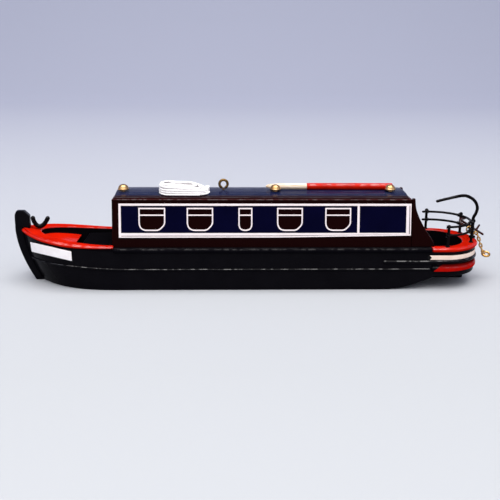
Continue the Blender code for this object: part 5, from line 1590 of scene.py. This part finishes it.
def ring_shell(centre, long_way, wide_way, length, width, radius, steps=40, sides=12):
    """A closed link: two half circles joined by straight sides, in the plane of its two ways."""
    angle = (np.arange(steps) + 0.5) * 2 * math.pi / steps
    shift = np.where(np.sin(angle) > 0, 1, -1) * (length - width) / 2
    long_way, wide_way = np.asarray(long_way, float), np.asarray(wide_way, float)
    path = (np.asarray(centre, float) + (width / 2 * np.sin(angle) + shift)[:, None] * long_way
            + (width / 2 * np.cos(angle))[:, None] * wide_way)
    return skin(tube_grid(path, radius, np.cross(long_way, wide_way), sides, closed=True), ring=True)


def rail_line(z):
    """Half an ellipse round the stern, from port abeam to starboard, and a short straight end."""
    turn = np.linspace(0, math.pi, 120)
    arc = np.stack([RAIL_CENTRE_X - RAIL_LENGTH * np.sin(turn), RAIL_HALF_WIDTH * np.cos(turn), 0 * turn + z], -1)
    return np.vstack([arc, [RAIL_END_X, -RAIL_HALF_WIDTH, z]])


def lashing(centre, radial, slant):
    """One turn of thin wire round a post and a rail: an oval along the radial way, leaning to one side."""
    beside = np.cross((0, 0, 1), radial)
    other = (np.array((0, 0, 1.0)) + slant * beside) / math.hypot(1, slant)
    return ring_shell(centre, radial, other, LASHING_LENGTH, LASHING_WIDTH, LASHING, steps=28, sides=8)


def build_rails():
    """The rails are bars; each post is a lathed ball, rod and foot on an ellipse, with two lashings at each rail."""
    for name, z in RAILS.items():
        make(name, [bar(rail_line(z), RAIL)], WIRE)
    ball = [(BALL * math.sin(a), BALL_Z + BALL * math.cos(a)) for a in np.linspace(0.08, 2.55, 14)]
    for name, angle in POSTS.items():
        x, y = RAIL_CENTRE_X - POST_LENGTH * math.sin(angle), POST_HALF_WIDTH * math.cos(angle)
        shells = [turned(ball + POST_OUTLINE, (x, y, 0), steps=24)]
        radial = np.array([math.sin(angle), -math.cos(angle), 0.0])
        for z in sorted(RAILS.values()):
            middle = np.array([x, y, z]) + radial * LASHING_IN
            shells += [lashing(middle, radial, slant) for slant in (-LASHING_SLANT, LASHING_SLANT)]
        make("rail_post_" + name, shells, WIRE)


build_rails()

# %% [markdown]
# ## Tiller
#
# The tiller is one bent bar, a swan neck with a small bead on it, that turns in a collar on the stern deck. It rides
# on its own body, apart from the rest of the boat. The collar is spun as a ring with a hole through it: a plain
# cylinder would have the bar cut into it at every angle.

# %% Tiller
TILLER_X, TILLER_WIRE = -97.9, 0.68
BEAD_RADIUS, BEAD_Z = 1.08, 25.7
COLLAR = [(0.76, 18.36), (1.44, 18.36), (1.44, 18.85), (1.34, 19.0), (1.1, 19.05), (0.76, 19.05)]
# The neck's centre line from its axis, as (x, z).
NECK = [(0, 18.42), (0, 21.0), (0, 24.0), (0.05, 27.0), (-0.95, 29.2), (-1.35, 31.6), (-0.2, 34.3), (2.45, 36.3),
        (5.6, 36.9), (11.0, 35.8), (17.0, 34.3)]


def build_tiller():
    """The collar, a profile of (radius, height) spun into a ring, and the neck, thinning towards its handle."""
    angle = np.linspace(0, 2 * math.pi, 40, endpoint=False)
    rows = [[(TILLER_X + r * math.cos(a), r * math.sin(a), z) for r, z in COLLAR] for a in angle]
    make("tiller_collar", [skin(rows, ring=True)], WIRE)
    path = catmull([(x, 0, z) for x, z in NECK], 12) + (TILLER_X, 0, 0)
    turn = np.linspace(0.3, math.pi - 0.3, 14)
    bead = np.stack([BEAD_RADIUS * np.sin(turn), BEAD_Z + np.cos(turn)], -1)
    make("tiller", [bar(path, TILLER_WIRE, up=(0, 1, 0), taper=((0, 1), (0.7, 1), (0.8, 0.93), (1, 0.9))),
                    turned(bead, (TILLER_X, 0, 0), steps=24)], WIRE, body="tiller_bar")


build_tiller()

# %% [markdown]
# ## Anchor
#
# A small cast anchor hangs across the rails: a shank, two arms with palms and a stock. Its parts are bars and flat
# slabs set out from three ways at right angles, so it could be turned as a whole by changing its two ends.

# %% Anchor
CROWN, RING_END = np.array((-93.4, -4.2, 25.35)), np.array((-103.7, -2.0, 18.95))
STOCK_WAY, ARM_WAY = np.array((-0.74, -0.1, 0.67)), np.array((0.408, 0.88, -0.246))
ARM_RADIUS, ARM_TURN, STOCK_SHARE, STOCK_HALF = 3.6, 1.15, 0.68, 2.9
ANCHOR_WIRE, STOCK_WIRE = 0.5, 0.4
PALM = [(-0.5, 0.0, 0.2), (0.7, 0.95, 0.5), (1.35, 0.6, 0.3), (1.35, -0.6, 0.3), (0.7, -0.95, 0.5)]


def square_to(way, along):
    """The part of a way that is at right angles to another, one unit long."""
    return unit(way - along * way.dot(along))


def palm(tip, inward, across):
    """A spade laid over an arm's tip: its outline in the plane of two ways, with eased edges."""
    normal = unit(np.cross(inward, across))
    return slab(rounded(PALM), [(0.1, -0.2), (0.0, -0.1), (0.0, 0.1), (0.1, 0.2)],
                lambda a, b, h: tuple((tip + a[:, None] * inward + b[:, None] * across + h * normal).T))


def build_anchor():
    """The arms are an arc: crown + radius * ((1 - cos a) along + sin a arm)."""
    along = unit(RING_END - CROWN)
    stock, arm = square_to(STOCK_WAY, along), square_to(ARM_WAY, along)
    across = np.cross(along, arm)
    turn = np.linspace(-ARM_TURN, ARM_TURN, 30)[:, None]
    arc = CROWN + along * ARM_RADIUS * (1 - np.cos(turn)) + arm * ARM_RADIUS * np.sin(turn)
    middle = CROWN + (RING_END - CROWN) * STOCK_SHARE
    shells = [bar([CROWN, CROWN + (RING_END - CROWN) / 2, RING_END], ANCHOR_WIRE, up=across,
                  taper=((0, 1), (0.5, 0.9), (1, 1))),
              bar(arc, ANCHOR_WIRE, up=across, taper=((0, 0.75), (0.5, 1.0), (1, 0.75))),
              bar([middle - stock * STOCK_HALF, middle, middle + stock * STOCK_HALF], STOCK_WIRE, up=along,
                  taper=((0, 1), (0.5, 1.2), (1, 1)))]
    for tip, next_in in ((arc[0], arc[3]), (arc[-1], arc[-4])):
        shells.append(palm(tip, unit(next_in - tip), across))
    make("anchor", shells, IRON)


build_anchor()

# %% [markdown]
# ## Chain
#
# A brass chain falls from a ring on the rail to a larger ring behind the stern. Its links are separate closed
# ovals a pitch apart along a smooth route, each turned a quarter from the last, as a chain's links have to be. An
# Array modifier along a curve would place them too, but it would not give the exact count that fits the route.

# %% Chain
ROUTE = [(-97.4, 2.4, 21.3), (-98.6, 2.0, 21.0), (-99.9, 1.5, 19.6), (-100.9, 0.9, 17.4), (-101.9, 0.2, 15.1),
         (-102.8, -0.2, 12.8), (-103.6, -0.4, 11.5)]
PITCH_MM, LINK_LENGTH, LINK_WIDTH, LINK_WIRE, LINK_TWIST = 1.75, 1.96, 1.06, 0.32, 0.35
# The rings at its two ends: centre, the two ways that a ring lies in, width, wire, and its steps and sides.
RINGS = (((-95.82, 2.4, 22.52), (0, 0, 1), (1, 0, 0), 2.6, LINK_WIRE, 40, 10),
         ((-104.89, -0.5, 10.6), (1, 0, 0), unit((0, 0.9, -0.44)), 3.1, 0.5, 48, 12))


def build_chain():
    """Every link lies along the route; its other way is across it, by turns level and upright, and a little twisted."""
    route = catmull(ROUTE, 20)
    places = evenly(route, round(lengths_of(route)[-1] / PITCH_MM) + 1)
    beam = np.array((0.0, 1.0, 0.0))
    shells = []
    for number, (place, way) in enumerate(zip(places, np.gradient(places, axis=0))):
        along = unit(way)
        wide = square_to(beam if number % 2 == 0 else unit(np.cross(along, beam)), along)
        wide = unit(wide + np.cross(along, wide) * LINK_TWIST)
        shells.append(ring_shell(place, along, wide, LINK_LENGTH, LINK_WIDTH, LINK_WIRE, steps=26, sides=10))
    for centre, long_way, wide_way, width, wire, steps, sides in RINGS:
        shells.append(ring_shell(centre, long_way, wide_way, width, width, wire, steps, sides))
    make("stern_chain", shells, CHAIN_BRASS)
    print(f"chain: {len(places)} links and 2 rings over {lengths_of(route)[-1]:.1f} mm")


build_chain()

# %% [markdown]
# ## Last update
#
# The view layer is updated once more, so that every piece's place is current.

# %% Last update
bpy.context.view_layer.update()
